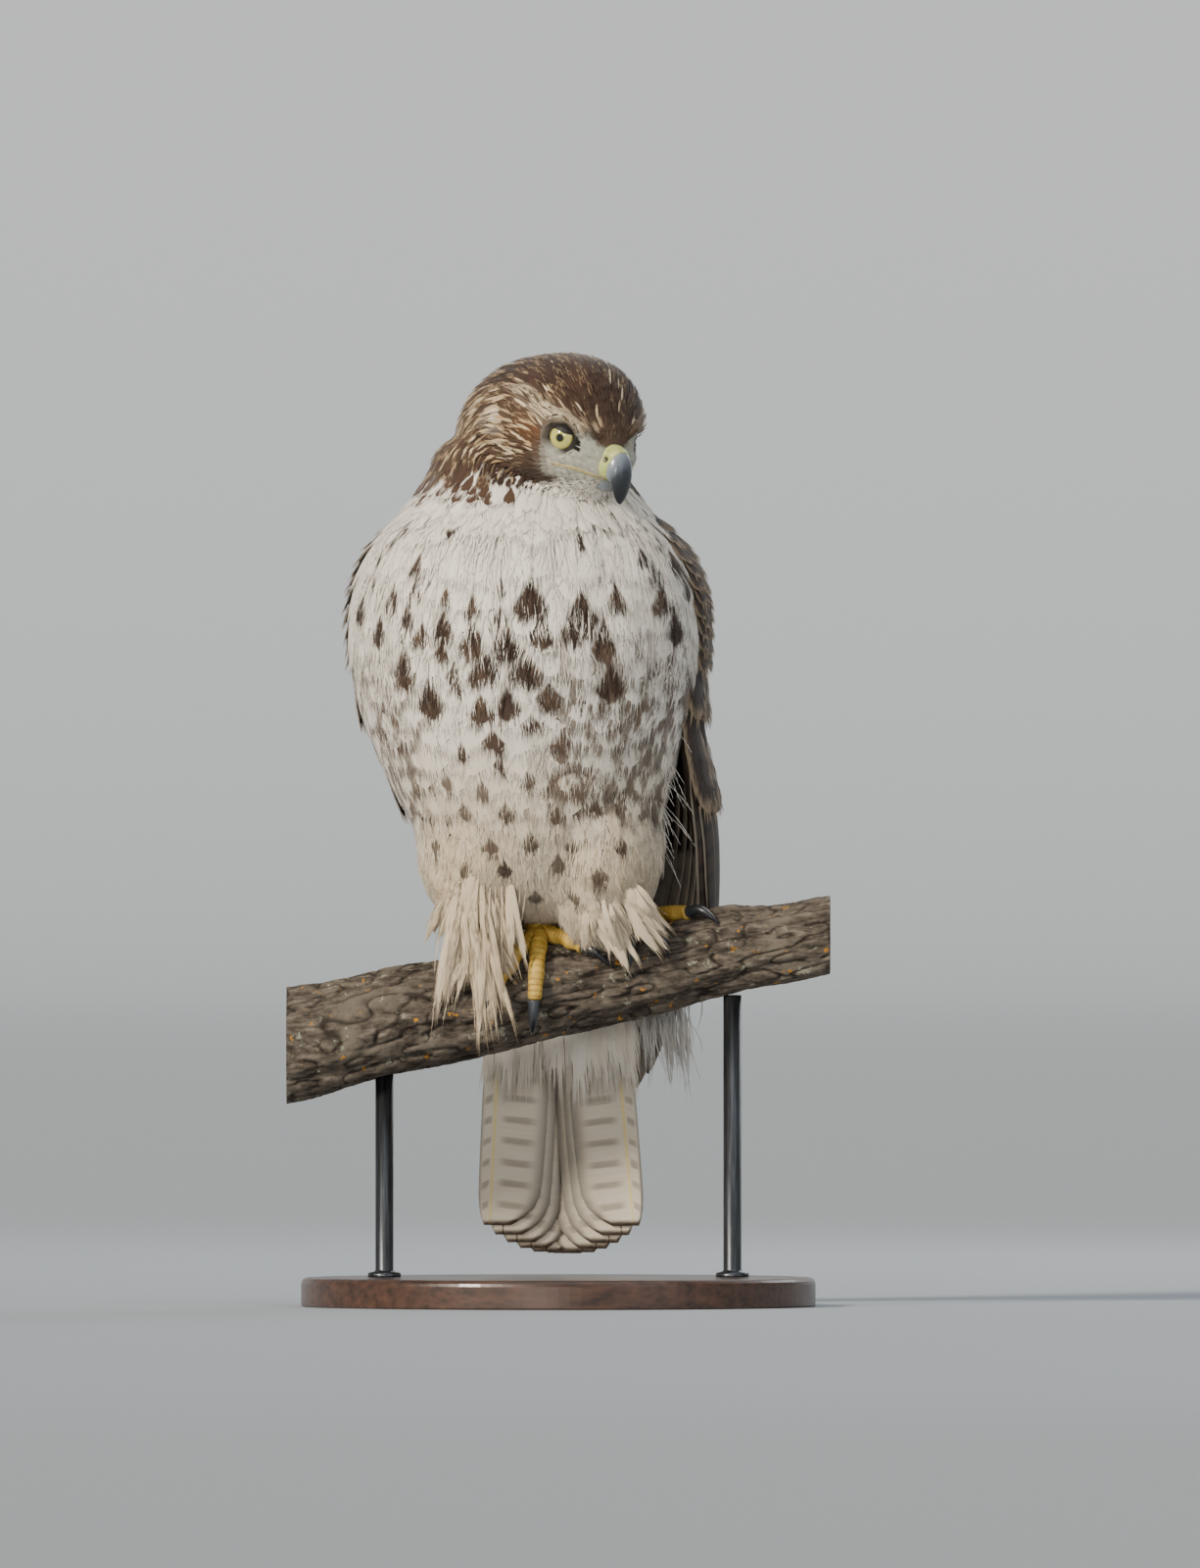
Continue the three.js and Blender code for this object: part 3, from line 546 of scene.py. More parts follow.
def grained(name, low, high, scale, detail=3.0, rough=0.55, stretch=(1, 1, 1), mask=None, masked=None,
            strength=0.3, distance=0.0005, **look):
    """A finish of two shades mixed by noise that is its relief too, and a third where the mask is 1."""
    f = Finish(name, **look)
    grain = f.cloud(f.place(stretch), scale, detail, rough)
    tone = f.ramp(grain, [(0.3, low), (0.7, high)])
    if mask:
        tone = f.mix(f.attribute(mask, "Fac"), tone, masked)
    return f.finish(tone, bump=grain, strength=strength, distance=distance)


# %% [markdown]
# ## Colours of skin and coat
# One rule gives the ground colour at any place: cream below, brown on back and hood, and on the head a pale
# brow, a dark band below the gape and a warm cheek. Skin and feathers both ask it, so a gap between feathers
# shows the same colour.

# %% Marking colours of skin and coat
CREAM = swatch("e9e1d3")
BUFF = swatch("cdb795")
SPOT = swatch("3b2d25")
DARK = swatch("33241b")
HOOD = swatch("38271d")
EAR = swatch("554131")
RUST = swatch("6a4529")
PALE_BROW = swatch("d2c0a2")
LORE = swatch("b3b0a0")


def blend_colour(share, a, b):
    """Colours from a to b by a share for each point."""
    return a + (b - a) * np.asarray(share)[..., None]


BROW_LINE = [[-30, 21, 3], [-9, 19, 4.5], [3, 16, 5.5], [18.6, 11.5, 4], [28.3, 6.5, 2]]
HOOD_LINE = [[-80, -46], [-47, -44], [-26, -38], [-9, -35], [1, -30.5], [11, -25.5], [20, -22], [32, -20]]


def eye_gap(points):
    """Distance of points from the nearer eye's line of sight, in the plane across that line."""
    head = to_head(points)
    head = np.stack([np.abs(head[..., 0]), head[..., 1], head[..., 2]], -1)
    offset = head - eye_middle(1)
    offset = offset - dot(offset, eye_look(1)) * eye_look(1) * 0.8
    return np.linalg.norm(offset * np.array([0.86, 0.86, 1.1]), axis=-1)


def brow_share(points):
    """1 on the pale stripe over and behind the eye: a flat-topped bell round the line of the brow."""
    hx, hy, hz = np.moveaxis(to_head(points), -1, 0)
    height, reach = through(BROW_LINE, -hy)
    stripe = np.exp(-((hz - height) / reach) ** 4)
    return stripe * rise(np.abs(hx), 14, 20) * rise(-hy, -30, -12) * rise(hy, -30, -25)


def hood_edge(points):
    """How far above the lower edge of the brown hood points lie, in millimetres."""
    _, hy, hz = np.moveaxis(to_head(points), -1, 0)
    return hz - through(HOOD_LINE, -hy)[0]


def hood_share(points):
    """1 on the brown hood and 0 on the pale throat and breast below its edge."""
    return rise(hood_edge(points) + 1.5 * noise(points, 5, 7), -2.5, 1.5)


def malar_share(points):
    """1 on the dark band below cheek and gape: a bell over the height, 6 mm above the hood's edge."""
    _, hy, hz = np.moveaxis(to_head(points), -1, 0)
    middle = through(HOOD_LINE, -hy)[0] + 6
    return np.exp(-((hz - middle) / 5.5) ** 2) * rise(-hy, -34, -18) * (1 - rise(-hy, 13, 20))


def ground_colour(points):
    """Ground colour of coat and skin at points of the bird's frame, before any marks: each step blends one
    more colour in by a share that rises and falls softly with the place."""
    _, y, z = np.moveaxis(points, -1, 0)
    above = rise(z, 438, 452)
    front = rise(-y, -40 + 40 * above, 10 + 25 * above)
    lower = rise(-z, -330, -235)
    shade = blend_colour(lower * (0.75 + 0.25 * noise(points, 22, 3)), CREAM, BUFF)
    shade = blend_colour((1 - front) * np.maximum(rise(z, 225, 300), rise(y, 22, 42)), shade, DARK * 1.3)
    head = to_head(points)
    forward, height = -head[..., 1], head[..., 2]
    crown = rise(height, 10, 24)
    hood = blend_colour(0.5 + 0.5 * noise(points, 8, 5), HOOD, HOOD * 1.7)
    hood = blend_colour((1 - crown) * 0.7, hood, EAR)
    rusty = np.exp(-(forward / 10) ** 2 - ((height - 2) / 7) ** 2)
    hood = blend_colour(rusty * 0.8, hood, RUST)
    pale_spot = np.exp(-((forward + 28) / 5) ** 2 - ((height + 1) / 4) ** 2)
    hood = blend_colour(pale_spot, hood, CREAM)
    hood = blend_colour(brow_share(points) * 0.85, hood, PALE_BROW)
    hood = blend_colour(malar_share(points), hood, HOOD * 0.9)
    hood = blend_colour(0.7 * (1 - rise(hood_edge(points), 4, 15)), hood, HOOD)
    hood = blend_colour(1 - hood_share(points), hood, CREAM * 0.97)
    top_of_cheek = -3 + 9 * rise(np.abs(head[..., 0]), 4, 20)
    cheek = rise(forward, 2, 14) * (1 - rise(height, top_of_cheek - 1.5, top_of_cheek + 1.5))
    cheek = cheek * rise(height, -24, -20)
    hood = blend_colour(cheek, hood, LORE * (0.9 + 0.1 * noise(points, 2.5, 9))[..., None])
    hood = blend_colour(1 - rise(eye_gap(points), 8.9, 10.0), hood, swatch("14110f"))
    return blend_colour(np.maximum(head_share(points), hood_share(points)), shade, hood)


# %% [markdown]
# ## Skin
# Under the feathers lies one closed skin. Plain closed forms of body, head, thighs and tail root are fused by
# a voxel remesh, which gives an even net, and then every point of the net is settled onto the soft form.

# %% One skin
END_ANGLE = 0.12


def ring_form(rows_at, low, high, rows, columns):
    """Points of closed rings between two ends: rings crowd towards the ends as on a ball."""
    along = low + (high - low) * (1 - np.cos(np.linspace(END_ANGLE, np.pi - END_ANGLE, rows))) / 2
    angle = circle(columns)
    return rows_at(along[:, None], angle[None, :])


def body_ring(z, angle):
    """Ring of the body at a height."""
    half, front, back = through(BODY, z)
    middle, depth = (front + back) / 2, (back - front) / 2
    rings = np.broadcast_arrays(lean(z) + half * np.sin(angle), middle - depth * np.cos(angle), z)
    return np.stack(rings, -1)


def head_ring(forward, angle):
    """Ring of the head at a place along it."""
    half, top, bottom = through(HEAD, forward)
    height = (top + bottom) / 2 + (top - bottom) / 2 * np.cos(angle)
    rings = np.broadcast_arrays(half * np.sin(angle), -forward, height)
    return from_head(np.stack(rings, -1))


def ball_ring(centre, size):
    """Rings of a stretched ball about a centre."""
    def rings(t, angle):
        """Ring at a height t from -1 to 1: its reach is the root of one less the height squared."""
        around = np.sqrt(1 - t * t)
        parts = np.broadcast_arrays(around * np.sin(angle), around * np.cos(angle), t)
        return np.array(centre) + np.stack(parts, -1) * np.array(size)
    return rings


SKIN_VOXEL = 1.8
lumps = [
    ring_form(body_ring, 209, 488, 60, 72),
    ring_form(head_ring, -80, 32, 40, 48),
    ring_form(ball_ring((34, -10, 248), (30, 40, 52)), -1, 1, 24, 32),
    ring_form(ball_ring((-34, -10, 248), (30, 40, 52)), -1, 1, 24, 32),
    ring_form(ball_ring((-2, 60, 238), (28, 16, 28)), -1, 1, 16, 24),
]
points, faces = gathered(closed_tube(rings) for rings in lumps)
rough = outwards(new_piece("skin_rough", points, faces, None, "breast_feathers"))
fused = rough.modifiers.new("fuse", "REMESH")
fused.mode = "VOXEL"
fused.voxel_size = SKIN_VOXEL * MM
net = rough.evaluated_get(bpy.context.evaluated_depsgraph_get()).to_mesh()
points = np.empty(len(net.vertices) * 3)
net.vertices.foreach_get("co", points)
points = points.reshape(-1, 3) / MM
faces = np.empty(len(net.loops), np.int32)
net.loops.foreach_get("vertex_index", faces)
faces = faces.reshape(-1, 4)
bpy.data.objects.remove(rough)
points = settle(points, -coat_depth(points), rounds=3)

skin_finish = Finish("skin_finish", roughness=0.75)
grain = skin_finish.cloud(skin_finish.place(), 900.0)
tone = skin_finish.attribute("ground", "Color")
fleck = skin_finish.step(skin_finish.cloud(skin_finish.place(), 300.0, 5.0), 0.35, 0.7)
tone = skin_finish.mix(0.25, tone, skin_finish.ramp(fleck, [(0, 0.25), (1, 0.75)]), "OVERLAY")
skin_material = skin_finish.finish(tone, bump=grain, strength=0.5, distance=0.0006)
skin = new_piece("skin", points, faces, skin_material, "breast_feathers", world=False)
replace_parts(skin, "torso", "neck", "head", "thigh_left", "thigh_right")

# %% [markdown]
# ## One feather
# A feather is a closed lens: a grid that is wide at the middle and meets itself at a thin rim. Fine barbs lie
# over its outer half and stand out past the rim, which softens every edge. A feather is drawn once in flat
# numbers (across, along, up); thousands of copies are then bent along their own middle lines by whole-array
# sums. Each barb takes its colour from its own root, so spots fray as they do in soft plumage.

# %% Vane patterns
OUTLINES = {
    "round": [[0, 0.3], [0.25, 0.8], [0.6, 1], [0.82, 0.92], [0.94, 0.66], [1, 0.26]],
    "loose": [[0, 0.3], [0.3, 0.85], [0.6, 0.9], [0.85, 0.62], [1, 0.2]],
    "hackle": [[0, 0.3], [0.3, 0.9], [0.6, 1], [0.85, 0.68], [1, 0.12]],
    "broad": [[0, 0.5], [0.2, 0.85], [0.5, 1], [0.9, 0.98], [0.965, 0.8], [1, 0.42]],
    "blade": [[0, 0.5], [0.2, 0.9], [0.5, 1], [0.8, 0.86], [0.93, 0.6], [1, 0.16]],
}


def barbs_over(outline, count, reach, half, low, spread=1.0):
    """Barbs as four points each: two at the foot, a tip, and a ridge over the foot."""
    t = 1 - (1 - low) * rng.random(count) ** 1.2
    side = np.sin(np.pi * rng.uniform(-0.5, 0.5, count))
    s = side * through(OUTLINES[outline], t)[0] * 0.97
    run = reach * rng.uniform(0.6, 1.3, count)
    out = (side * rng.uniform(0.1, 0.5, count) + rng.uniform(-0.12, 0.12, count)) * run / reach * 0.5 * spread
    zero, shade = np.zeros(count), rng.random(count)
    colour_from = [side, s, t, shade]
    rows = [
        [s - half, t - 0.01, zero + 0.2, *colour_from],
        [s + half, t - 0.01, zero + 0.2, *colour_from],
        [s + out, t + run, zero + rng.uniform(0.6, 1.6, count), *colour_from],
        [s + out * 0.3, t + run * 0.3, zero + 2.2, *colour_from],
    ]
    return np.stack([np.stack(row, -1) for row in rows], 1).reshape(-1, 7)


def vane_pattern(outline, rows, columns, barbs=0, variants=1, reach=0.16, half=0.03, low=0.55, spread=1.0):
    """Flat feathers as (points, triangles). A point is across, along, up, then the share across, the place
    across and along that its colour comes from, and a shade of its own."""
    patterns = []
    t = 1 - (1 - np.linspace(0, 1, rows)) ** 1.3
    width = through(OUTLINES[outline], t)[0]
    share = np.linspace(-1, 1, columns)
    along, across = np.meshgrid(t, share, indexing="ij")
    inside = np.zeros((rows, columns), bool)
    inside[1:-1, 1:-1] = True
    up = np.where(inside, 1 - across ** 2 * 0.6, 0)
    s = across * width[:, None]
    upper = np.stack([s, along, up, across, s, along, 0 * s + 0.5], -1).reshape(-1, 7)
    lower = upper[inside.ravel()] * np.array([1, 1, -1, 1, 1, 1, 1])
    under = np.arange(rows * columns)
    under[inside.ravel()] = rows * columns + np.arange(len(lower))
    quads = grid_faces(rows, columns)
    sheets = [quads, under[quads][:, ::-1]]
    lens = np.concatenate([part[:, corners] for part in sheets for corners in ([0, 1, 2], [0, 2, 3])])
    for _ in range(variants):
        points, triangles = np.concatenate([upper, lower]), lens
        if barbs:
            base = len(points) + 4 * np.arange(barbs)
            corners = np.array([[0, 1, 3], [0, 3, 2], [3, 1, 2], [1, 0, 2]])
            points = np.concatenate([points, barbs_over(outline, barbs, reach, half, low, spread)])
            triangles = np.concatenate([triangles, (base[:, None, None] + corners).reshape(-1, 3)])
        patterns.append((points, triangles))
    return patterns


def along_lines(lines, t):
    """Places at shares t along many lines of equal steps, (n, steps + 1, 3): straight between steps, and
    carried straight on past the end."""
    steps = lines.shape[1] - 1
    k = np.clip(np.floor(t * steps).astype(int), 0, steps - 1)
    part = (t * steps - k)[None, :, None]
    return lines[:, k] * (1 - part) + lines[:, k + 1] * part


def feathers(name, lay, half, thick, patterns, finish, slot, seeds, places, camber=0.12, patch=0.003,
             tilt=0.3, soft=True, paint=None, **marks):
    """A coat piece: every feather of a lay (lines, ways across, normals) in one closed-lens mesh. A soft coat
    is shaded by the skin's own normals, tilted a little across each vane, so it reads as one mass."""
    lines, across, normals = lay
    count = len(lines)
    pick = np.arange(count) % len(patterns)
    clouds, sources, shading, faces, owners, flats, start = [], [], [], [], [], [], 0
    for k, (flat, triangles) in enumerate(patterns):
        own = np.flatnonzero(pick == k)
        if not len(own):
            continue
        s, t, up, share, s_from, t_from, shade = flat.T
        wide = half[own, None, None]
        sideways, normal = along_lines(across[own], t), along_lines(normals[own], t)
        hump = up[None, :, None] * thick / 2 - camber * s[None, :, None] ** 2 * wide
        cloud = along_lines(lines[own], t) + sideways * s[None, :, None] * wide + normal * hump
        clouds.append(cloud.reshape(-1, 3))
        source = along_lines(across[own], t_from) * s_from[None, :, None] * wide
        source = along_lines(lines[own], t_from) + source
        sources.append(source.reshape(-1, 3))
        bend = tilt * s[None, :, None] * sideways
        shading.append((unit(normal + bend) * np.where(up < 0, -1, 1)[None, :, None]).reshape(-1, 3))
        block = start + (np.arange(len(own)) * len(flat))[:, None, None]
        faces.append((triangles[None] + block).reshape(-1, 3))
        owners.append(np.repeat(own, len(flat)))
        beneath = np.where(up < 0, 1.0, np.where(up > 0, 0.0, 0.5))
        flats.append(np.tile(np.stack([share, t_from, beneath, shade], -1), (len(own), 1)))
        start += len(own) * len(flat)
    owner, flat = np.concatenate(owners), np.concatenate(flats)
    piece = new_piece(name, np.concatenate(clouds), np.concatenate(faces), finish, slot, world=False)
    mark(piece, "vane", np.column_stack([flat[:, :2], seeds[owner]]))
    mark(piece, "under", flat[:, 2])
    mark(piece, "shade", flat[:, 3])
    for key, values in marks.items():
        mark(piece, key, values[owner])
    if paint is not None:
        mark(piece, "spot", paint(np.concatenate(sources), owner))
    size = np.broadcast_to(np.asarray(patch, float), (2,))
    unwrap(piece, places[owner] + (flat[:, :2] - np.array([0, 0.5])) * size * np.array([0.5, 1]))
    if soft:
        piece.data.normals_split_custom_set_from_vertices(np.concatenate(shading) @ BIRD_MATRIX.T)
    return piece


# %% [markdown]
# ## The finish of a feather
# Markings are drawn in numbers that the points carry. Attribute spot places a point in the nearest breast
# mark, as shares of its half width and half length; attribute marks holds a feather's own drop, streak and
# pale oval, and how far its middle is darkened. Noise drawn out along the barbs frays every edge.

# %% Feather finish
def fray_along(f, r, barb, seed, across, along):
    """Noise from -0.5 to 0.5 drawn out along the barbs of a vane, different for each feather."""
    combine = {0: f.times(r, across), 1: f.times(barb, along), 2: f.times(seed, 90.0)}
    return f.less(f.cloud(f.add("CombineXYZ", combine), 1.0, 2.0), 0.5)


def feather_finish(name, pale="cdb38d", roughness=0.82, spots=False):
    """The finish of small feathers. Attribute marks holds drop, streak, oval and dusk."""
    f = Finish(name, roughness=roughness, Sheen_Weight=0.2, Specular_IOR_Level=0.2)
    r, t, seed = f.parts(f.attribute("vane"))
    ink = f.attribute("ink", "Color")
    ground = f.attribute("ground", "Color")
    edge = f.attribute("ground", "Alpha")
    shade = f.attribute("shade", "Fac")
    drop, streak, oval, dusk = f.channels("marks")
    a = f.math("ABSOLUTE", r)
    barb = f.less(t, f.times(a, 0.22))
    fray = fray_along(f, r, barb, seed, 2.0, 34.0)
    uneven = f.less(shade, 0.5)
    blur = f.plus(f.times(fray, 0.5), f.times(uneven, 0.3))
    a = f.plus(a, blur)
    t = f.plus(t, f.times(fray, 0.1))
    swell = f.ramp(t, [(0.4, 0.0), (0.62, 0.5), (0.82, 1.0), (0.91, 0.9), (0.985, 0.0)])
    swell = f.times(swell, drop)
    drops = f.step(f.less(swell, a), 0.0, 0.14)
    thin = f.times(streak, f.ramp(t, [(0.25, 0.5), (0.7, 1.0), (0.97, 0.1)]))
    streaks = f.step(f.less(thin, a), 0.0, 0.1)
    sideways = f.math("POWER", f.math("DIVIDE", a, 0.72), 2.0)
    lengthways = f.math("POWER", f.math("DIVIDE", f.less(t, 0.88), 0.15), 2.0)
    clear = f.step(f.plus(sideways, lengthways), 1.3, 0.75)
    brown = f.times(f.less(1.0, clear), oval)
    inked = f.math("MAXIMUM", f.math("MAXIMUM", drops, streaks), brown)
    if spots:
        u, v, strength = f.parts(f.attribute("spot"))
        u = f.plus(f.math("ABSOLUTE", u), f.times(blur, 0.9))
        v = f.plus(f.times(v, 0.5), f.plus(0.5, f.times(fray, 0.15)))
        body = f.ramp(v, [(0.0, 0.0), (0.3, 0.42), (0.62, 1.0), (0.8, 0.72), (1.0, 0.0)])
        spot = f.times(f.step(f.less(body, u), -0.16, 0.2), strength)
        inked = f.math("MAXIMUM", inked, spot)
    tone = f.mix(inked, ground, ink)
    rim = f.math("MAXIMUM", f.step(a, 0.55, 0.9), f.step(t, 0.86, 0.99))
    tone = f.mix(f.times(rim, edge), tone, pale)
    core = f.times(f.step(a, 0.7, 0.1), dusk)
    tone = f.mix(core, tone, ink)
    lines = f.plus(f.times(fray, 0.35), f.times(uneven, 0.16))
    lines = f.plus(0.5, lines)
    tone = f.mix(0.6, tone, lines, "OVERLAY")
    return f.finish(tone, bump=fray, strength=0.25, distance=0.0004)


# %% [markdown]
# ## Laying feathers
# Roots stand in staggered rows, like tiles. From each root a middle line is traced: at every step it follows
# the lie of the coat, is settled onto the form, and rises a little from the skin towards the outside, so each
# feather covers the root of the next. On the head the lie fans out from the bill; on the body it runs down.

# %% Lie and lines
BILL_ROOT = np.array([0, -27, -12])


def lie(points, normals):
    """The way feathers point at places of the form."""
    head = to_head(points)
    away = unit(head - BILL_ROOT)
    back = rise(head[..., 1], 0, 66)[..., None]
    away = (away * (1 - back) + np.array([0, 0.25, -0.9]) * back) @ HEAD_MATRIX.T
    share = head_share(points)[..., None]
    way = away * share + np.array([0, 0, -1.0]) * (1 - share)
    return unit(way - dot(way, normals) * normals)


def lay_down(roots, length, depth, lift, stray=0.12, steps=4):
    """Middle lines, ways across and normals of feathers from their roots: equal steps along the lie, each
    settled onto the form and a little higher than the last, and turned by the feather's own stray."""
    count = len(roots)
    points = settle(roots, -depth, bedded=False)
    drift = rng.normal(0, stray, (count, 1))
    lines, across, normals = [], [], []
    for k in range(steps + 1):
        _, way = slope(points, bedded=False)
        normal = unit(way)
        ahead = lie(points, normal)
        ahead = unit(ahead + drift * unit(np.cross(normal, ahead)))
        lines.append(points)
        normals.append(normal)
        across.append(unit(np.cross(ahead, normal)))
        if k < steps:
            level = -depth + (depth + lift) * ((k + 1) / steps) ** 0.85
            points = settle(points + ahead * (length / steps)[:, None], level, bedded=False, rounds=1)
    return np.stack(lines, 1), np.stack(across, 1), np.stack(normals, 1)


def map_places(angles, along, start=200, span=300):
    """Places in the map for roots at angles round the bird: start and span give the map's reach along it."""
    return np.column_stack([(angles + np.pi) / TAU, (along - start) / span])


def all_rows(row, count):
    """The same few numbers for each of many feathers."""
    return np.broadcast_to(row, (count, len(row)))


def rows_of_roots(along, ring, gap, jitter=0.18):
    """Staggered roots on rings: ring(place, angle) gives a point, gap(place) the distance along a ring. Each
    ring is walked in small steps, so that its roots stand at equal distances and not at equal angles."""
    roots, angles, places = [], [], []
    fine = np.linspace(-np.pi, np.pi, 181)
    for k, place in enumerate(along):
        line = ring(np.full(len(fine), place), fine)
        walked = np.concatenate([[0], np.cumsum(np.linalg.norm(np.diff(line, axis=0), axis=1))])
        count = max(3, int(round(walked[-1] / gap(place))))
        stops = (np.arange(count) + 0.5 * (k % 2) + rng.uniform(-jitter, jitter, count)) / count
        angle = np.interp((stops % 1) * walked[-1], walked, fine)
        here = place + rng.uniform(-jitter, jitter, count) * abs(along[1] - along[0])
        roots.append(ring(here, angle))
        angles.append(angle)
        places.append(here)
    return np.concatenate(roots), np.concatenate(angles), np.concatenate(places)


# %% [markdown]
# ## Marks of the breast
# The large marks were measured one by one on the photograph: how far left or right, how high, how wide and
# how long. They are drawn wider and longer than that, because the feathers above cover part of each. The
# small arrows of the belly stand in a staggered net. Each mark gets its own little frame on the form, and
# every feather near it takes its share of the mark, so a mark stays whole over several feathers.

# %% Marks
MARKS = [
    [-15, 389, 10.5, 20], [13, 382, 11, 20], [6, 370, 9, 12], [-9, 372, 9, 14], [-32, 376, 8, 14],
    [-28, 365, 12, 14], [-47, 367, 8, 18], [-40, 350, 11, 20], [-63, 374, 7, 14], [-47, 384, 5, 12],
    [-62, 388, 4, 12], [-73, 398, 4.5, 12], [-78, 405, 4.5, 16], [-79, 392, 5, 11], [-91, 389, 6.5, 13],
    [-83, 377, 6.5, 17], [-75, 369, 7, 10], [-64, 358, 7, 13], [-57, 349, 5, 10], [-55, 339, 6, 8],
    [-18, 350, 12, 16], [-84, 352, 9, 17], [-70, 335, 10, 16], [-42, 329, 9, 11], [-28, 332, 9, 13],
    [-5, 337, 8, 9], [32, 389, 6.5, 15], [25, 401, 4, 9], [47, 411, 6, 10], [54, 402, 8, 12],
    [57, 389, 9, 14], [64, 376, 8, 17], [25, 366, 8, 21], [29, 344, 11, 16], [56, 420, 6, 9],
    [64, 410, 7, 12], [70, 397, 6, 12], [-103, 399, 6, 11], [-108, 384, 6, 12], [-98, 372, 6, 13],
    [12, 422, 2.5, 11], [-32, 395, 3, 9], [-91, 421, 3, 11], [-99, 412, 4, 9], [32, 432, 4, 14],
    [26, 425, 3, 14], [36, 418, 3, 9], [45, 430, 4, 11], [-84, 428, 2.5, 10], [-70, 434, 3, 12],
    [-15, 320, 8, 8], [1, 312, 7, 8], [-36, 312, 7, 8], [44, 440, 4, 10], [-58, 430, 2.5, 11],
]
WIDER, LONGER = 1.8, 1.35
SWELL_ALONG = [0, 0.3, 0.62, 0.8, 1]
SWELL = [0, 0.42, 1, 0.72, 0]


def frames_of_marks():
    """Places, sizes, strengths and the ways across and along of all the marks, on the form."""
    rows = [(x, z, width * WIDER + 2, length * LONGER + 4, 1.0) for x, z, width, length in MARKS]
    for k, z in enumerate(range(228, 306, 15)):
        for x in range(-62 + 12 * (k % 2), 50, 24):
            x_here, z_here = x + rng.uniform(-5, 5), z + rng.uniform(-4, 4)
            rows.append((x_here, z_here, rng.uniform(9, 12), rng.uniform(11, 15), rng.uniform(0.8, 1)))
    table = np.array(rows, float)
    fine = np.radians(np.linspace(-89, 89, 179))
    middles = []
    for x, z in table[:, :2]:
        seen = to_world(body_ring(np.full(len(fine), z), fine))[:, 0]
        middles.append(body_ring(np.array(z), np.interp(x, seen, fine)))
    middles = settle(np.array(middles), 0, bedded=False)
    normals = unit(slope(middles, False)[1])
    along = lie(middles, normals)
    return middles, table[:, 2:4], table[:, 4], np.cross(along, normals), along


mark_middle, mark_size, mark_strength, mark_across, mark_along = frames_of_marks()


def in_marks(points, nearest):
    """Place of each point in its chosen mark, as shares of half width and half length, and the mark's
    strength."""
    offset = points - mark_middle[nearest]
    u = np.sum(offset * mark_across[nearest], -1) / mark_size[nearest, 0] * 2
    v = np.sum(offset * mark_along[nearest], -1) / mark_size[nearest, 1] * 2
    return np.stack([u, v, mark_strength[nearest]], -1)


def nearest_mark(points):
    """The mark nearest to each point, measured to its rim."""
    gaps = np.linalg.norm(points[:, None] - mark_middle[None], axis=-1) - mark_size.mean(1)[None] * 0.4
    return np.argmin(gaps, axis=1)


# %% [markdown]
# ## Marks under the feathers
# The skin carries the same marks as the coat, so that none of them breaks where feathers part.

# %% Marks on the skin
coordinates = np.empty(len(skin.data.vertices) * 3)
skin.data.vertices.foreach_get("co", coordinates)
skin_points = to_bird(coordinates.reshape(-1, 3) / MM)
skin_tone = ground_colour(skin_points)
u, v, strength = in_marks(skin_points, nearest_mark(skin_points)).T
swell = np.interp((v + 1) / 2, SWELL_ALONG, SWELL)
skin_tone = blend_colour(rise(swell - np.abs(u), -0.06, 0.22) * strength, skin_tone, SPOT)
mark(skin, "ground", skin_tone)
print("marks:", len(mark_middle))


# %% [markdown]
# ## Coat of the body
# Breast feathers are about 24 mm across and overlap in rows 12.5 mm apart. The flanks carry a pale oval on
# brown at each tip, and the back is brown with pale edges. None grow where the folded wings lie.

# %% Body coat
BODY_ROW = 12.5
BODY_GAP = 14
breast_finish = feather_finish("breast_finish", spots=True)


def body_gap(z):
    """Distance between the roots of body feathers along a ring: less at the neck."""
    return BODY_GAP - 4 * rise(z, 420, 470)


roots, angles, heights = rows_of_roots(np.arange(212, 480, BODY_ROW), body_ring, body_gap)
turned = np.abs(angles)
under_wing = (turned > 92 * DEGREE) & (turned < 152 * DEGREE) & (heights < 426) & (heights > 262)
keep = (heights < 466) & (head_share(roots) < 0.5) & ~under_wing
roots, angles, heights = roots[keep], angles[keep], heights[keep]
count = len(roots)
chance = rng.random((count, 4))
length = 40 + 5 * chance[:, 0] - 14 * rise(heights, 430, 470)
half = 11.5 + 1.5 * chance[:, 1] - 5 * rise(heights, 420, 470)
body_lay = lay_down(roots, length, np.full(count, 2.4), 0.3 + 0.7 * chance[:, 2], stray=0.1, steps=5)
body_nearest = nearest_mark(body_lay[0][:, -2] * 0.3 + body_lay[0][:, -1] * 0.7)
tips = body_lay[0][:, -1]
tip_z = tips[:, 2]
side = np.abs(angles) / DEGREE
flank = np.where(angles > 0, rise(side, 8, 18), rise(side, 30, 42))
flank = flank * rise(tip_z, 254, 270) * (1 - rise(tip_z, 346, 372)) * (1 - rise(side, 96, 110))
back = rise(side, 84, 98)
marks = np.zeros((count, 4))
marks[:, 1] = np.where(chance[:, 3] < 0.25 * (1 - flank) * rise(tip_z, 240, 300), 0.05, 0)
marks[:, 2] = np.where(chance[:, 3] < 0.95, flank * (0.75 + 0.25 * chance[:, 0]), 0)
marks[:, 1] = np.maximum(marks[:, 1], 0.07 * flank)
marks *= 1 - back[:, None]
ground = ground_colour(tips)
ground[:, :3] *= 0.95 + 0.08 * chance[:, 1:2]
ground[:, 3] = 0.42 * back
ink = blend_colour(flank * 0.25 + 0.4 * chance[:, 2], SPOT, swatch("7a6552"))
places = map_places(angles, heights)
soft = vane_pattern("round", 8, 7, barbs=120, variants=5, reach=0.19, low=0.45)
parts = {"coat_front": side < 34, "coat_side": (side >= 34) & (side < 75), "coat_back": side >= 75}
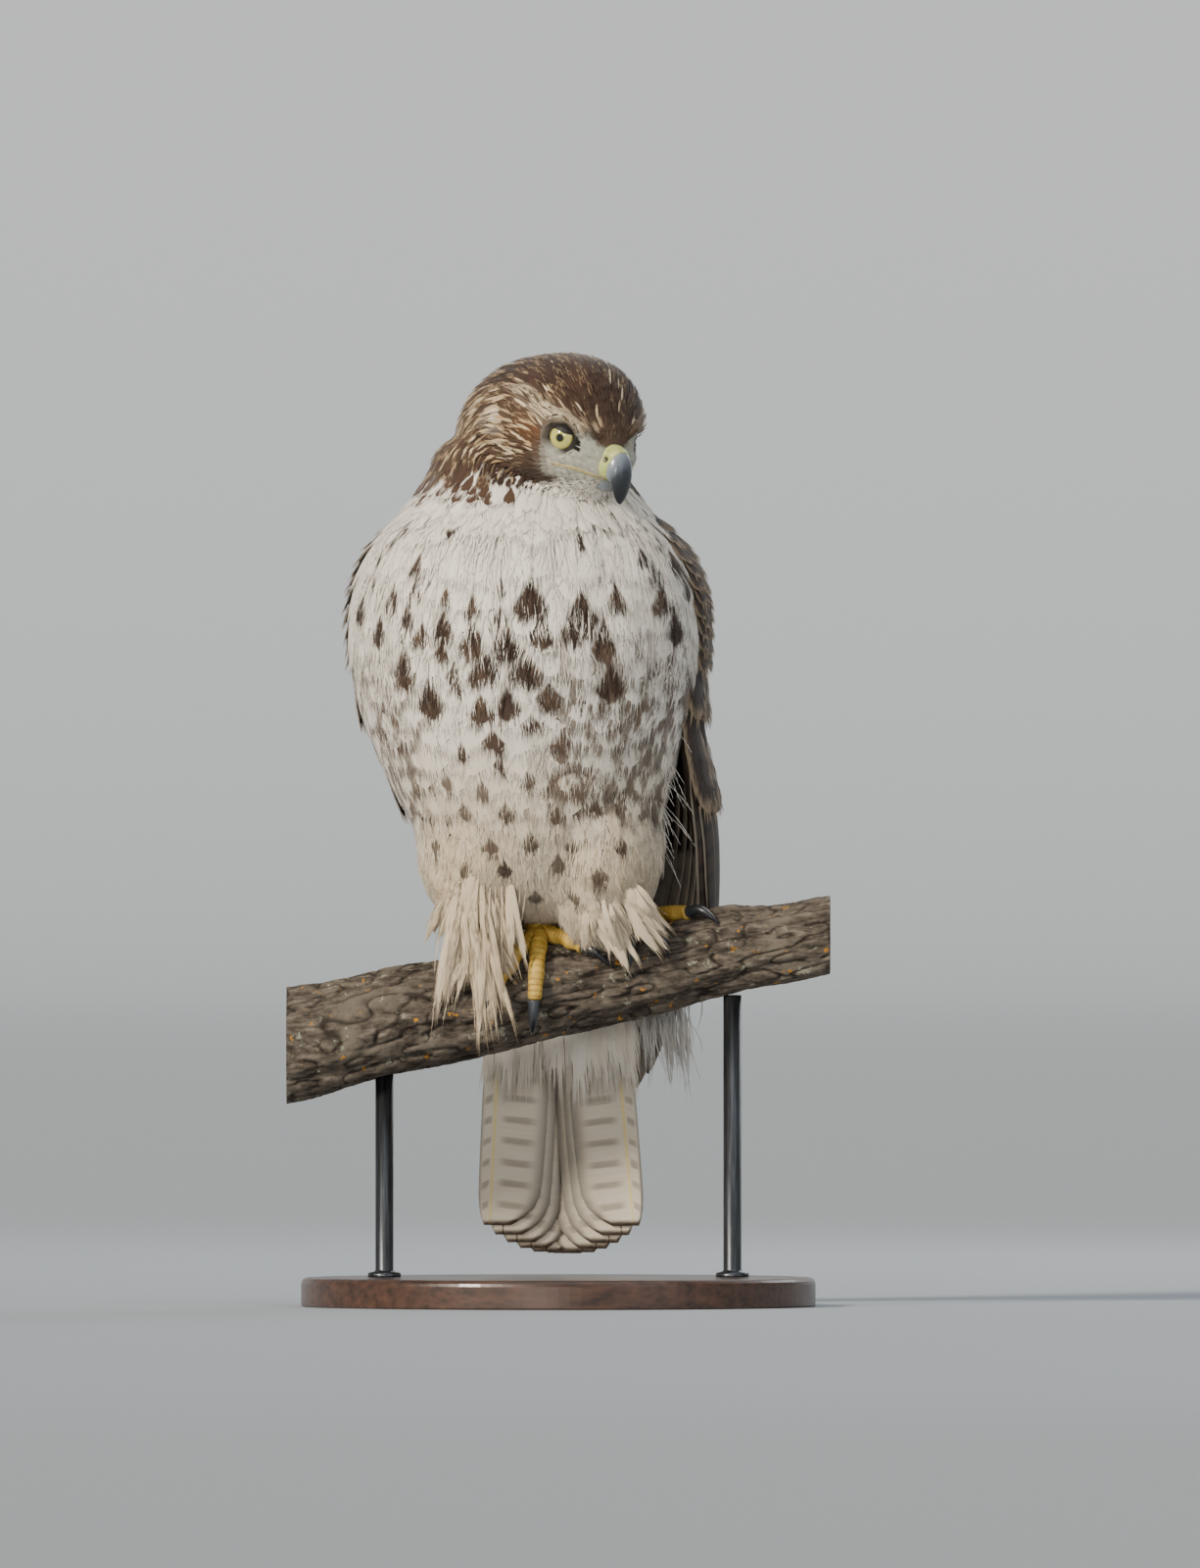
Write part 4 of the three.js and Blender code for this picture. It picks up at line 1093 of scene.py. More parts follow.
for name, part in parts.items():
    chosen = np.flatnonzero(part)
    feathers(name, [values[chosen] for values in body_lay], half[chosen], 0.3, soft, breast_finish,
             "breast_feathers", chance[chosen, 0], places[chosen], camber=0.075,
             paint=lambda points, owner: in_marks(points, body_nearest[chosen][owner]),
             ground=ground[chosen], ink=ink[chosen], marks=marks[chosen])

# %% [markdown]
# ## Ruff
# Between head and breast the feathers are small. Above the hood's edge they are brown, and just below it many
# end in one brown drop, which breaks the edge up.

# %% Ruff coat
RUFF_ROW, RUFF_GAP = 4.6, 5.2
RUFF_INK = swatch("4e382a")
NO_SPOT = np.array([9.0, 9.0, 0.0])
roots, angles, heights = rows_of_roots(np.arange(444, 488, RUFF_ROW), body_ring, lambda z: RUFF_GAP)
keep = (head_share(roots) < 0.6) & (np.abs(angles) < 125 * DEGREE)
roots, angles, heights = roots[keep], angles[keep], heights[keep]
count = len(roots)
chance = rng.random((count, 4))
ruff_lay = lay_down(roots, 20 + 6 * chance[:, 0], np.full(count, 1.2), 0.9 + 0.8 * chance[:, 2], stray=0.13)
tips = ruff_lay[0][:, -1]
drop_line = hood_edge(tips)
near_edge = rise(drop_line, -13, -7) * (1 - rise(drop_line, 0, 3))
marks = np.zeros((count, 4))
marks[:, 0] = np.where(chance[:, 3] < 0.8 * near_edge, 1.1, 0)
marks[:, 1] = np.where(chance[:, 3] > 0.8, 0.14, 0) * rise(np.abs(angles), 0.3, 0.8)
marks[:, 3] = hood_share(tips) * chance[:, 0]
ground = ground_colour(tips)
ground[:, :3] *= 0.9 + 0.2 * chance[:, 1:2]
ground[:, 3] = np.where(chance[:, 2] < 0.5, 0.7, 0.1) * hood_share(tips)
places = map_places(angles, heights)
small = vane_pattern("hackle", 6, 5, barbs=26, variants=5, reach=0.2, half=0.06, low=0.4)
feathers("coat_ruff", ruff_lay, 3.8 + 1.4 * chance[:, 1], 0.3, small, breast_finish, "breast_feathers",
         chance[:, 0], places, camber=0.1, ground=ground, ink=all_rows(RUFF_INK, count), marks=marks,
         spot=all_rows(NO_SPOT, count))

# %% [markdown]
# ## Coat of the head
# Head feathers are narrow and short, about 4 mm long round the bill and up to 23 mm at the nape. Some are
# narrower still and wholly pale, which gives the fine curved streaks behind the eye. Below the hood's edge
# about half of them end in a brown drop.

# %% Head coat
head_finish = feather_finish("head_finish", pale="bfa57e", roughness=0.78)


def head_rows(count):
    """Places of rows along the head, closer at the face than at the nape."""
    t = np.linspace(0, 1, count)
    return 30 - 107 * t ** 1.15


def head_gap(forward):
    """Distance between the roots of head feathers along a ring: more at the nape."""
    return 1.5 + 0.9 * rise(-forward, -24, 40)


roots, angles, along = rows_of_roots(head_rows(34), head_ring, head_gap)
local = to_head(roots)
bill_gap = np.hypot(local[:, 0] / 1.15, local[:, 2] + 10)
keep = (eye_gap(roots) > 7.9) & ~((along > 24) & (bill_gap < 10)) & (head_share(roots) > 0.15)
roots, angles, along = roots[keep], angles[keep], along[keep]
count = len(roots)
chance = rng.random((count, 4))
face = face_share(roots)
rear = rise(-along, -20, 60)
brow_roots = brow_share(roots)
length = (7.5 + 11 * rear) * (0.9 + 0.35 * chance[:, 0]) * (1 - 0.5 * face) + 3 * brow_roots
half = (1.15 + 0.9 * rear) * (0.8 + 0.4 * chance[:, 1]) * (1 - 0.3 * face)
depth = coat_depth(roots)
lift = (0.4 + 0.9 * chance[:, 2]) * (1 - 0.6 * face) * (1 - 0.6 * rise(along, 16, 26))
head_lay = lay_down(roots, length, depth, lift, stray=0.15)
tips = head_lay[0][:, -1]
ground = ground_colour(tips)
brow = brow_share(tips)
ground = blend_colour(brow * (chance[:, 1] < 0.3) * 0.85, ground, EAR * 0.8)
_, back, hz = to_head(tips).T
hood = hood_share(tips)
crown = rise(hz, 14, 26) * (1 - brow)
ear = np.exp(-((26 - back) / 24) ** 2 - ((hz + 6) / 16) ** 2)
pale = 0.24 + 0.45 * ear + 0.2 * rear + 0.2 * brow - 0.34 * crown - 0.8 * malar_share(tips)
flecked = (chance[:, 3] < np.clip(pale, 0.07, 1) * 0.75) & (face < 0.5) & (hood > 0.5)
half = np.where(flecked, half * 0.62, half)
streak_tone = blend_colour(chance[:, 0], swatch("a98a63"), swatch("d9c6a4"))
ground = np.where((flecked & (brow < 0.5))[:, None], streak_tone, ground)
ground[:, :3] *= 0.78 + 0.4 * chance[:, 1:2]
ground[:, 3] = np.where(chance[:, 2] > 0.8, 0.5, 0.0) * (1 - face) * hood
marks = np.zeros((count, 4))
marks[:, 1] = np.where(flecked, 0, 0.3) * (1 - face) * chance[:, 0] * hood
marks[:, 0] = (1 - hood) * (chance[:, 3] < 0.45) * rise(hood_edge(tips), -14, -2) * 0.8
marks[:, 3] = brow * (chance[:, 0] < 0.5) * 0.8
places = map_places(angles, along, -90, 130)
fine = vane_pattern("hackle", 6, 3, barbs=7, variants=5, reach=0.2, half=0.09, low=0.5)
feathers("coat_head", head_lay, half, 0.3, fine, head_finish, "head_feathers", chance[:, 0], places,
         camber=0.15, ground=ground, ink=all_rows(DARK, count), marks=marks)

# %% [markdown]
# ## Loose plumes
# Long soft strands lie over breast and belly, hang in locks from the thighs over the bark and along the edge
# of the tail, and stray across the dark wing. Each is a very narrow feather. Broader feathers under the
# strands of the thighs close them into tufts.

# %% Strands
def hang(roots, ways, length, droop, steps=5):
    """Lines that leave their roots one way and droop by the square of the share along them, with ways across
    and normals."""
    t = np.linspace(0, 1, steps + 1)[None, :, None]
    fall = np.array([0, 0, -1.0]) * (droop * length)[:, None, None] * t ** 2
    lines = roots[:, None] + ways[:, None] * length[:, None, None] * t + fall
    along = unit(np.gradient(lines, axis=1))
    normals = np.broadcast_to(unit(slope(roots, False)[1])[:, None], lines.shape)
    across = unit(np.cross(along, normals))
    return lines, across, unit(np.cross(across, along) + normals * 0.5)


def plumes(name, roots, lay, half, seeds, places, shade=None):
    """A piece of loose strands with no marks but the breast's own."""
    count = len(roots)
    ground = ground_colour(roots) if shade is None else np.array(all_rows(shade, count))
    ground[:, :3] *= 0.92 + 0.16 * seeds[:, None]
    ground[:, 3] = 0
    nearest = nearest_mark(lay[0][:, -2])
    feathers(name, lay, half, 0.25, strand, breast_finish, "breast_feathers", seeds, places, camber=0.05,
             paint=lambda points, owner: in_marks(points, nearest[owner]), ground=ground,
             ink=all_rows(SPOT, count), marks=np.zeros((count, 4)))


strand = vane_pattern("hackle", 6, 3, barbs=10, variants=5, reach=0.13, half=0.22, low=0.1, spread=16)
for name, count, low, high in (("belly", 1500, 212, 272), ("breast", 1300, 352, 452)):
    seeds = rng.random((count, 4))
    z = low + (high - low) * seeds[:, 0] ** 1.2
    angle = rng.uniform(-70, 70, count) * DEGREE
    roots = body_ring(z, angle)
    lay = lay_down(roots, 18 + 12 * seeds[:, 1], np.full(count, 0.2), 0.5 + 1.4 * seeds[:, 2] ** 2, stray=0.2)
    plumes("plumes_" + name, roots, lay, 0.18 + 0.28 * seeds[:, 3], seeds[:, 0], map_places(angle, z))
LOCKS = {
    "thigh": [
        [(-61, 222), (-64, 166), 5, -34, 44], [(-48, 214), (-38, 160), 8, -36, 90],
        [(-44, 212), (-32, 165), 7, -36, 60], [(-32, 208), (-25, 184), 6, -34, 40],
        [(-64, 230), (-67, 204), 6, -28, 34], [(-54, 212), (-53, 180), 9, -36, 80],
        [(29, 214), (40, 192), 6, -35, 44], [(46, 216), (61, 204), 4, -32, 30],
        [(16, 212), (22, 200), 6, -35, 26],
    ],
    "tail": [
        [(56, 172), (64, 124), 5, 60, 60], [(64, 172), (72, 122), 5, 62, 50],
        [(49, 168), (51, 128), 4, 60, 30],
    ],
}
TAIL_DOWN = swatch("cfcbc4")
FLANK_PLUMES = 24


def lock(root, tip, spread, tip_y, count):
    """Strands of one lock: their roots are scattered, and they gather towards a common point, each in a bow
    that is highest at its middle."""
    scatter = rng.normal(0, 1, (count, 3)) * np.array([spread, 2, spread * 1.3])
    start = np.array([root[0], -60.0 if tip_y < 0 else tip_y, root[1]])
    starts = to_bird(start + scatter)
    if tip_y < 0:
        starts = settle(starts, -BODY_COAT, bedded=False, rounds=4)
    stray = rng.normal(0, 1, (count, 3)) * np.array([spread * 0.6, 1.5, 5])
    ends = to_bird(np.array([tip[0], tip_y, tip[1]]) + stray)
    ends = starts + (ends - starts) * rng.uniform(0.4, 1.05, (count, 1))
    t = np.linspace(0, 1, 8)[None, :, None]
    lines = starts[:, None] * (1 - t) + ends[:, None] * t
    bow = np.array([0, np.sign(tip_y) * 1.0, 0])
    lines = lines + bow * np.sin(np.pi * t) * rng.uniform(1, 5, (count, 1, 1))
    lines = lines + rng.normal(0, 1.8, (count, 1, 3)) * np.sin(np.pi * t * 0.9)
    return lines


def front_lay(lines):
    """A lay whose feathers face the front: across is the way along times the way forwards."""
    along = unit(np.gradient(lines, axis=1))
    across = unit(np.cross(along, np.array([0, -1.0, 0])))
    return lines, across, unit(np.cross(across, along))


def lock_places(lines, up):
    """Places in the map for the feathers of locks, by how far to the side they grow."""
    return np.column_stack([0.5 + lines[:, 0, 0] / 170, up])


def thigh_coat(locks):
    """Broader feathers, half as many as the strands, in the locks of the thighs."""
    lines = np.concatenate([lock(*row[:4], row[4] // 2) for row in locks])
    count = len(lines)
    ground = ground_colour(lines[:, 3])
    ground[:, 3] = 0
    chance = rng.random((count, 2))
    places = lock_places(lines, np.full(count, 0.1))
    feathers("coat_thigh", front_lay(lines), 1.6 + 1.4 * chance[:, 0], 0.3, small, breast_finish,
             "breast_feathers", chance[:, 1], places, camber=0.1, ground=ground, ink=all_rows(SPOT, count),
             marks=np.zeros((count, 4)), spot=all_rows(NO_SPOT, count))


for name, locks in LOCKS.items():
    lines = np.concatenate([lock(*row) for row in locks])
    seeds = rng.random((len(lines), 2))
    if name == "thigh":
        thigh_coat(locks)
    plumes("plumes_" + name, lines[:, 0], front_lay(lines), 0.16 + 0.22 * seeds[:, 0], seeds[:, 1],
           lock_places(lines, 0.02 + 0.1 * seeds[:, 1]), TAIL_DOWN if name == "tail" else None)
seeds = rng.random((FLANK_PLUMES, 4))
z = 246 + 84 * seeds[:, 0]
roots = settle(body_ring(z, (74 + 14 * seeds[:, 1]) * DEGREE), -0.5, bedded=False)
ways = unit(np.stack([0.25 + 0.7 * seeds[:, 2], -0.1 + 0 * z, -0.9 + 0.4 * seeds[:, 3]], -1))
lay = hang(roots, ways, 8 + 14 * seeds[:, 3], np.full(FLANK_PLUMES, 0.35))
places = np.column_stack([0.9 + 0.05 * seeds[:, 1], (z - 200) / 300])
plumes("plumes_flank", roots, lay, 0.12 + 0.14 * seeds[:, 1], seeds[:, 2], places, CREAM)

# %% [markdown]
# ## Finish of wing and tail vanes
# A flight feather has a shaft, two webs, dark bars across and a paler underside. Marks holds how strong the
# bars are, how many there are (in tens), how pale the tip is and how pale the shaft is.

# %% Vane finish
TEN_TURNS = 62.83


def vane_finish(name, roughness=0.62):
    """The finish of flight and tail feathers: bars are a cosine of the place along, frayed by the barbs."""
    f = Finish(name, roughness=roughness, Sheen_Weight=0.08, Specular_IOR_Level=0.3)
    r, t, seed = f.parts(f.attribute("vane"))
    bars, count, tip, shaft = f.channels("marks")
    under = f.step(f.attribute("under", "Fac"), 0.2, 0.5)
    a = f.math("ABSOLUTE", r)
    barb = f.less(t, f.times(a, 0.015))
    fray = fray_along(f, r, barb, seed, 1.2, 130.0)
    frayed = f.plus(barb, f.times(fray, 0.012))
    wave = f.times(frayed, f.times(count, TEN_TURNS))
    wave = f.math("COSINE", f.plus(wave, f.times(seed, 1.2)))
    bar = f.times(f.step(wave, 0.2, 0.9), bars)
    bar = f.times(bar, f.step(a, 0.04, 0.16))
    top = f.mix(bar, f.attribute("ground", "Color"), f.attribute("ink", "Color"))
    middle = f.times(f.step(a, 0.06, 0.3), f.step(a, 0.92, 0.6))
    faint = f.times(f.times(bar, middle), 0.8)
    below = f.mix(faint, f.attribute("lining", "Color"), "8f8578")
    rim = f.math("MAXIMUM", f.times(f.step(a, 0.84, 0.99), 0.4), f.step(t, 0.955, 0.995))
    top = f.mix(f.times(rim, tip), top, "cdb996")
    tone = f.mix(under, top, below)
    rachis = f.step(a, 0.055, 0.03)
    pale = f.mix(shaft, "4a3a2c", "ecd791")
    tone = f.mix(f.times(rachis, 0.85), tone, pale)
    lines = f.plus(0.5, f.times(fray, 0.4))
    tone = f.mix(0.45, tone, lines, "OVERLAY")
    relief = f.plus(f.times(fray, 0.5), f.times(rachis, 0.8))
    return f.finish(tone, bump=relief, strength=0.4, distance=0.0005)


# %% [markdown]
# ## Folded wings
# A wing lies on its own outline, given by a height, an angle from the bird's front and a distance out. Long
# primaries lie lowest, then secondaries, greater and middle coverts, and rows of small coverts up to the
# shoulder. A thin shell carries them, as the wing's own flesh does.

# %% Wings
def wing_point(side, z, angle, out):
    """Point of one wing's outline: height, angle from the front in degrees, and distance out."""
    half, front, back = through(WINGS, z)
    middle, depth = (front + back) / 2, (back - front) / 2
    spread = side * WING_SPREAD * (1 - rise(z, 250, 350))
    turn = angle * DEGREE
    x = side * (half + out + spread) * np.sin(turn) + lean(z)
    return np.stack(np.broadcast_arrays(x, middle - (depth + out) * np.cos(turn), z), -1)


def shift_of(side):
    """How much further forward, in degrees, the front edge of a wing lies."""
    return WING_SHIFT if side > 0 else 0


def lay_on_wing(side, roots, ends, steps, tilt=0.1):
    """Lines from roots to ends, each (height, angle, out), over a wing's outline. Every feather is tilted a
    little across, as slates are."""
    t = np.linspace(0, 1, steps + 1)[None, :, None]
    z, angle, out = np.moveaxis(roots[:, None] + (ends - roots)[:, None] * t, -1, 0)
    lines = wing_point(side, z, angle, out)
    turn = angle * DEGREE
    normals = np.stack([side * np.sin(turn), -np.cos(turn), np.zeros_like(turn)], -1)
    along = unit(np.gradient(lines, axis=1))
    normals = unit(normals - dot(normals, along) * along)
    across = np.cross(along, normals)
    tipped = across * np.cos(tilt) - side * normals * np.sin(tilt)
    return lines, tipped, unit(np.cross(tipped, along))


def tier(side, count, root, end, vary=2.0):
    """Roots and ends of a tier of like feathers, from the front edge to the back."""
    share = np.linspace(0, 1, count)
    ahead = shift_of(side) * (1 - share)
    sets = []
    for low, high, out in (root, end):
        z = low[0] + (low[1] - low[0]) * share + rng.normal(0, vary, count)
        angle = high[0] + (high[1] - high[0]) * share + ahead + rng.normal(0, 0.6, count)
        sets.append(np.stack([z, angle, np.full(count, float(out))], -1))
    return sets


WING_BROWN = swatch("3d2e24")
WING_DARK = swatch("1f1814")
LINING = swatch("a79c8c")
flight_finish = vane_finish("flight_finish")
covert_finish = feather_finish("covert_finish", pale="b79f7f")
shell_material = grained("shell_finish", "2a201a", "3b2d23", 900.0, stretch=(1, 1, 0.2), strength=0.4)
flight_pattern = vane_pattern("blade", 14, 7)
covert_pattern = vane_pattern("round", 8, 5, barbs=36, variants=4, reach=0.1, half=0.04)
small_pattern = vane_pattern("round", 6, 5, barbs=22, variants=4, reach=0.14, half=0.06)


def wing_shell(side):
    """Closed shell under the wing's feathers, thin at its edges."""
    v, u = np.meshgrid(np.linspace(0, 1, 40), np.linspace(0, 1, 30), indexing="ij")
    z = 438 - 186 * v
    start = 98 + shift_of(side) - 16 * rise(v, 0.1, 0.9)
    angle = start + (170 - start) * u
    edge = np.minimum(1, 0.1 + 5 * u) * np.minimum(1, 0.1 + 6 * (1 - u)) * (1 - 0.75 * rise(v, 0.7, 1))
    outer = wing_point(side, z, angle, 0.5 - 4 * (1 - edge) - 7 * rise(z, 424, 438))
    inner = wing_point(side, z, angle, -WING_THICKNESS + 0.5)[:, ::-1]
    return closed_tube(np.concatenate([outer, inner], 1))


def brown_coat(count, chance, edge):
    """Ground, ink and marks of brown coverts with pale edges."""
    shade = blend_colour(chance[:, 0] * 0.6, WING_BROWN, WING_DARK)
    shade[:, 3] = edge
    marks = np.zeros((count, 4))
    marks[:, 1] = 0.16
    return {"ground": shade, "ink": all_rows(WING_DARK, count), "marks": marks}


def flight_coat(count, chance, bars, number, tip, shaft, top=WING_BROWN):
    """Ground, ink, lining and marks of barred vanes."""
    return {
        "ground": blend_colour(chance[:, 0] * 0.5, top, WING_DARK), "ink": all_rows(WING_DARK * 0.6, count),
        "lining": all_rows(LINING, count), "marks": all_rows([bars, number, tip, shaft], count),
    }


def flight_row(name, side, roots, ends, steps, half, patches, look):
    """A row of flight feathers. Patches gives the first one's place in the map, the way to the next and the
    width there; look gives strength and number of bars, how pale tip and shaft are, and perhaps the tone."""
    first, apart, patch = patches
    count = len(roots)
    chance = rng.random((count, 4))
    places = np.column_stack([first + apart * np.arange(count), np.full(count, 0.5)])
    feathers(name, lay_on_wing(side, roots, ends, steps), np.full(count, half), 0.7, flight_pattern,
             flight_finish, "wing_feathers", chance[:, 0], places, camber=0.1, patch=(patch, 0.4), soft=False,
             **flight_coat(count, chance, *look))


def covert_rows(name, side, sets, steps, half, thick, pattern, camber, edge):
    """Tiers of coverts as one piece, with the roots of the highest tucked in under the wing's top edge."""
    roots, ends = (np.concatenate([pair[k] for pair in sets]) for k in (0, 1))
    roots[:, 2] -= 6 * rise(roots[:, 0], 430, 446)
    roots[:, 0] = np.minimum(roots[:, 0], 446)
    count = len(roots)
    chance = rng.random((count, 4))
    places = np.column_stack([ends[:, 1] / 180, (ends[:, 0] - 100) / 350])
    feathers(name, lay_on_wing(side, roots, ends, steps), half + chance[:, 1] * 1.5, thick, pattern,
             covert_finish, "wing_feathers", chance[:, 0], places, camber=camber,
             **brown_coat(count, chance, edge))


PRIMARY_TIPS = np.array([
    [188, 108], [164, 118], [145, 128], [128, 136], [120, 144], [130, 150], [146, 155], [168, 160],
])
for name, side in SIDES.items():
    shell = new_piece("wing_shell_" + name, *wing_shell(side), shell_material, "wing_feathers", world=False)
    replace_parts(outwards(shell), "wing_" + name)
    order = np.arange(len(PRIMARY_TIPS))
    roots = np.column_stack([0 * order + 290.0, 92 + 5.0 * order, 0 * order - 6.5])
    ends = np.column_stack([PRIMARY_TIPS, -4.2 + 0.7 * order])
    flight_row("primaries_" + name, side, roots, ends, 12, 12.0, (0.1, 0.1, 0.07),
               (0.75, 0.9, 0.35, 0.1, WING_DARK * 1.4))
    roots, ends = tier(side, 12, ((304, 312), (90, 164), -4), ((206, 224), (87, 166), 0.6))
    flight_row("secondaries_" + name, side, roots, ends, 10, 13.5, (0.04, 0.08, 0.06), (0.7, 0.7, 0.5, 0.1))
    sets = [
        tier(side, 13, ((350, 360), (92, 164), -4), ((272, 288), (87, 166), 2.4)),
        tier(side, 14, ((392, 400), (95, 164), -4), ((322, 340), (89, 166), 3.4)),
    ]
    covert_rows("coverts_large_" + name, side, sets, 6, 11.5, 0.5, covert_pattern, 0.1, 0.5)
    sets = []
    for k, z in enumerate(np.arange(352, 436, 8.5)):
        start, stop = 94 - 2 * (k % 2), 166 - 2 * (k % 2)
        over = 4.4 - 3.2 * rise(z, 404, 432)
        root, end = ((z + 26, z + 28), (start, stop), -2.5), ((z, z + 4), (start, stop), over)
        sets.append(tier(side, 19, root, end, 1.5))
    covert_rows("coverts_small_" + name, side, sets, 4, 6.5, 0.4, small_pattern, 0.12, 0.42)

# %% [markdown]
# ## Tail
# Twelve feathers lie folded under one another from the middle pair out. The outer web narrows towards the
# outermost pair, whose pale shafts show near the tail's edges. From below the tail is cream with faint bars.
# Coverts close its root above and below.

# %% Tail
TAIL_ROOT = np.array([-2, 64, 244])
TAIL_TIP = np.array([-5, 113, 27])
TAIL_TOP = 5
TAIL_STEP = 1.1
TAIL_HALF = 18
TAIL_SPREAD = 5.3
OUTER_LESS = 2.2
UNDER_TAIL, OVER_TAIL = 90, 60
tail_along = unit((TAIL_TIP - TAIL_ROOT).astype(float))
tail_length = np.linalg.norm(TAIL_TIP - TAIL_ROOT)
tail_out = unit(np.cross(tail_along, [-1, 0, 0]))


def lay_on_tail(offset, depth, start, length, spread, steps, dip=0.0, face=1):
    """Lines down the tail from a sideways offset, a depth in the stack, and start and length along it. The
    offset is multiplied by 0.75 at the root and by the spread at the tip."""
    t = np.linspace(0, 1, steps + 1)
    reach = (start[:, None] + (length - start)[:, None] * t)[..., None]
    sideways = (offset[:, None] * (0.75 + (spread - 0.75) * t))[..., None] * np.array([1.0, 0, 0])
    level = (depth[:, None] + dip * np.sin(np.pi * t))[..., None] * tail_out
    lines = TAIL_ROOT + tail_along * reach + sideways + level
    across = np.broadcast_to(np.array([face * 1.0, 0, 0]), lines.shape)
    return lines, across, np.broadcast_to(tail_out * face, lines.shape)


TAIL_BROWN = swatch("7a5d45")
TAIL_CREAM = swatch("f0e4cd")
tail_finish = vane_finish("tail_finish", 0.66)
for i in range(6):
    for name, side in SIDES.items():
        outer_web = TAIL_HALF - OUTER_LESS * i
        webs = (outer_web, 2 * TAIL_HALF - outer_web)
        if side > 0:
            webs = webs[::-1]
        pattern = vane_pattern("broad", 22, 7)
        for flat, _ in pattern:
            flat[:, 0] *= np.where(flat[:, 0] < 0, webs[0], webs[1]) / TAIL_HALF
        offset = side * (1.5 + TAIL_SPREAD * i * (1 - 0.03 * i) + TAIL_HALF - outer_web)
        depth = TAIL_TOP - TAIL_STEP * (2 * i + (side > 0))
        lay = lay_on_tail(np.array([offset]), np.array([depth]), np.array([-14.0]),
                          np.array([tail_length - 1.1 * i ** 1.75]), 1.16, 10)
        chance = rng.random((1, 4))
        coat = flight_coat(1, chance, 0.8, 1.8, 0.4, 0.15 + 0.85 * (i == 5), TAIL_BROWN)
        coat["lining"] = (TAIL_CREAM * (1 - 0.03 * i))[None]
        feathers(f"tail_{name}_{i + 1}", lay, np.array([TAIL_HALF * 1.0]), 0.6, pattern, tail_finish,
                 "tail_feathers", chance[:, 0] * 0.3, np.array([[0.5, 0.5]]), camber=0.03, patch=(0.5, 0.96),
                 soft=False, **coat)

loose_pattern = vane_pattern("loose", 9, 5, barbs=110, variants=5, reach=0.14, half=0.045, low=0.4)
chance = rng.random((UNDER_TAIL, 4))
offset = rng.uniform(-34, 34, UNDER_TAIL)
length = 76 + 46 * chance[:, 0] ** 0.7 * (1 - 0.5 * (offset / 60) ** 2)
depth = -9.5 - 6 * chance[:, 1]
lay = lay_on_tail(offset, depth, np.full(UNDER_TAIL, -18.0), length, 1.25, 5, dip=-2.0, face=-1)
ground = blend_colour(0.3 * chance[:, 2], CREAM, BUFF)
ground[:, 3] = 0
places = np.column_stack([0.5 + offset / 90, 0.9 - length / 300])
feathers("coverts_under_tail", lay, 6 + 4 * chance[:, 1], 0.4, loose_pattern, breast_finish, "tail_feathers",
         chance[:, 0], places, ground=ground, ink=all_rows(SPOT, UNDER_TAIL), marks=np.zeros((UNDER_TAIL, 4)))
chance = rng.random((OVER_TAIL, 4))
offset = rng.uniform(-28, 28, OVER_TAIL)
length = 30 + 60 * chance[:, 0]
lay = lay_on_tail(offset, 7.5 + 3 * chance[:, 1], np.full(OVER_TAIL, -22.0), length, 1.1, 5, dip=1.5)
ground = blend_colour(chance[:, 2], TAIL_BROWN, WING_BROWN)
ground[:, 3] = 0.7
places = np.column_stack([0.5 + offset / 90, 0.9 - length / 300])
feathers("coverts_upper_tail", lay, 7 + 3 * chance[:, 1], 0.4, covert_pattern, covert_finish, "tail_feathers",
         chance[:, 0], places, ground=ground, ink=all_rows(WING_DARK, OVER_TAIL),
         marks=np.zeros((OVER_TAIL, 4)))
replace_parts(bpy.data.objects["coverts_upper_tail"], "tail")

# %% [markdown]
# ## Tubes along a path
# Legs, toes, claws, lips and the lower bill are a section carried along a path. The section keeps its turn
# from one step to the next: each frame is the last one with the bend taken out, so nothing twists.

# %% Sweeping
def smooth_path(points, count):
    """A smooth path through a few points. Each point's place on it grows by the root of the distance from
    the one before."""
    points = np.asarray(points, float)
    knots = np.concatenate([[0], np.cumsum(np.linalg.norm(np.diff(points, axis=0), axis=1) ** 0.5)])
    rows = np.column_stack([knots, points])
    return np.moveaxis(through(rows, np.linspace(0, knots[-1], count)), 0, -1)


def frames_along(path, up):
    """Two unit ways across a path at each of its points, starting from an up direction, without twist."""
    ways = unit(np.gradient(path, axis=0))
    first = unit(up - dot(up, ways[0]) * ways[0])
    normals = [first]
    for way in ways[1:]:
        last = normals[-1]
        normals.append(unit(last - np.sum(last * way) * way))
    normals = np.array(normals)
    return normals, np.cross(ways, normals)


def tube_grid(rows, columns):
    """Shares from 0 to 1 down a tube, as a column, and angles round it, as a row."""
    return np.linspace(0, 1, rows)[:, None], circle(columns)[None]


def sweep(path, radius, columns, up):
    """Rings round a path: radius is (rows, columns), and angle 0 is the up side."""
    normals, sideways = frames_along(path, np.asarray(up, float))
    angle = circle(columns)
    ring = normals[:, None] * np.cos(angle)[:, None] + sideways[:, None] * np.sin(angle)[:, None]
    return path[:, None] + ring * radius[..., None]


# %% [markdown]
# ## Branch
# The perch is a cut length of branch, 300 mm long and about 50 mm thick. Its rind is a grid of rings: long
# plates come from noise stretched along the branch, with the cracks between them pressed in and painted
# near-black as painted shade.

# %% Perch
BRANCH_LEFT, BRANCH_RIGHT = -150, 150
BRANCH_HEIGHT, BRANCH_SLOPE = 175, 0.205
BRANCH_RADIUS, BRANCH_TAPER = 26, -0.036
PLATE_STRETCH = 0.35
TOE_RADIUS = 4.6


def branch_middle(x):
    """Middle line of the branch."""
    return np.stack(np.broadcast_arrays(x, 2.5 * np.sin(0.021 * x), BRANCH_HEIGHT + BRANCH_SLOPE * x), -1)


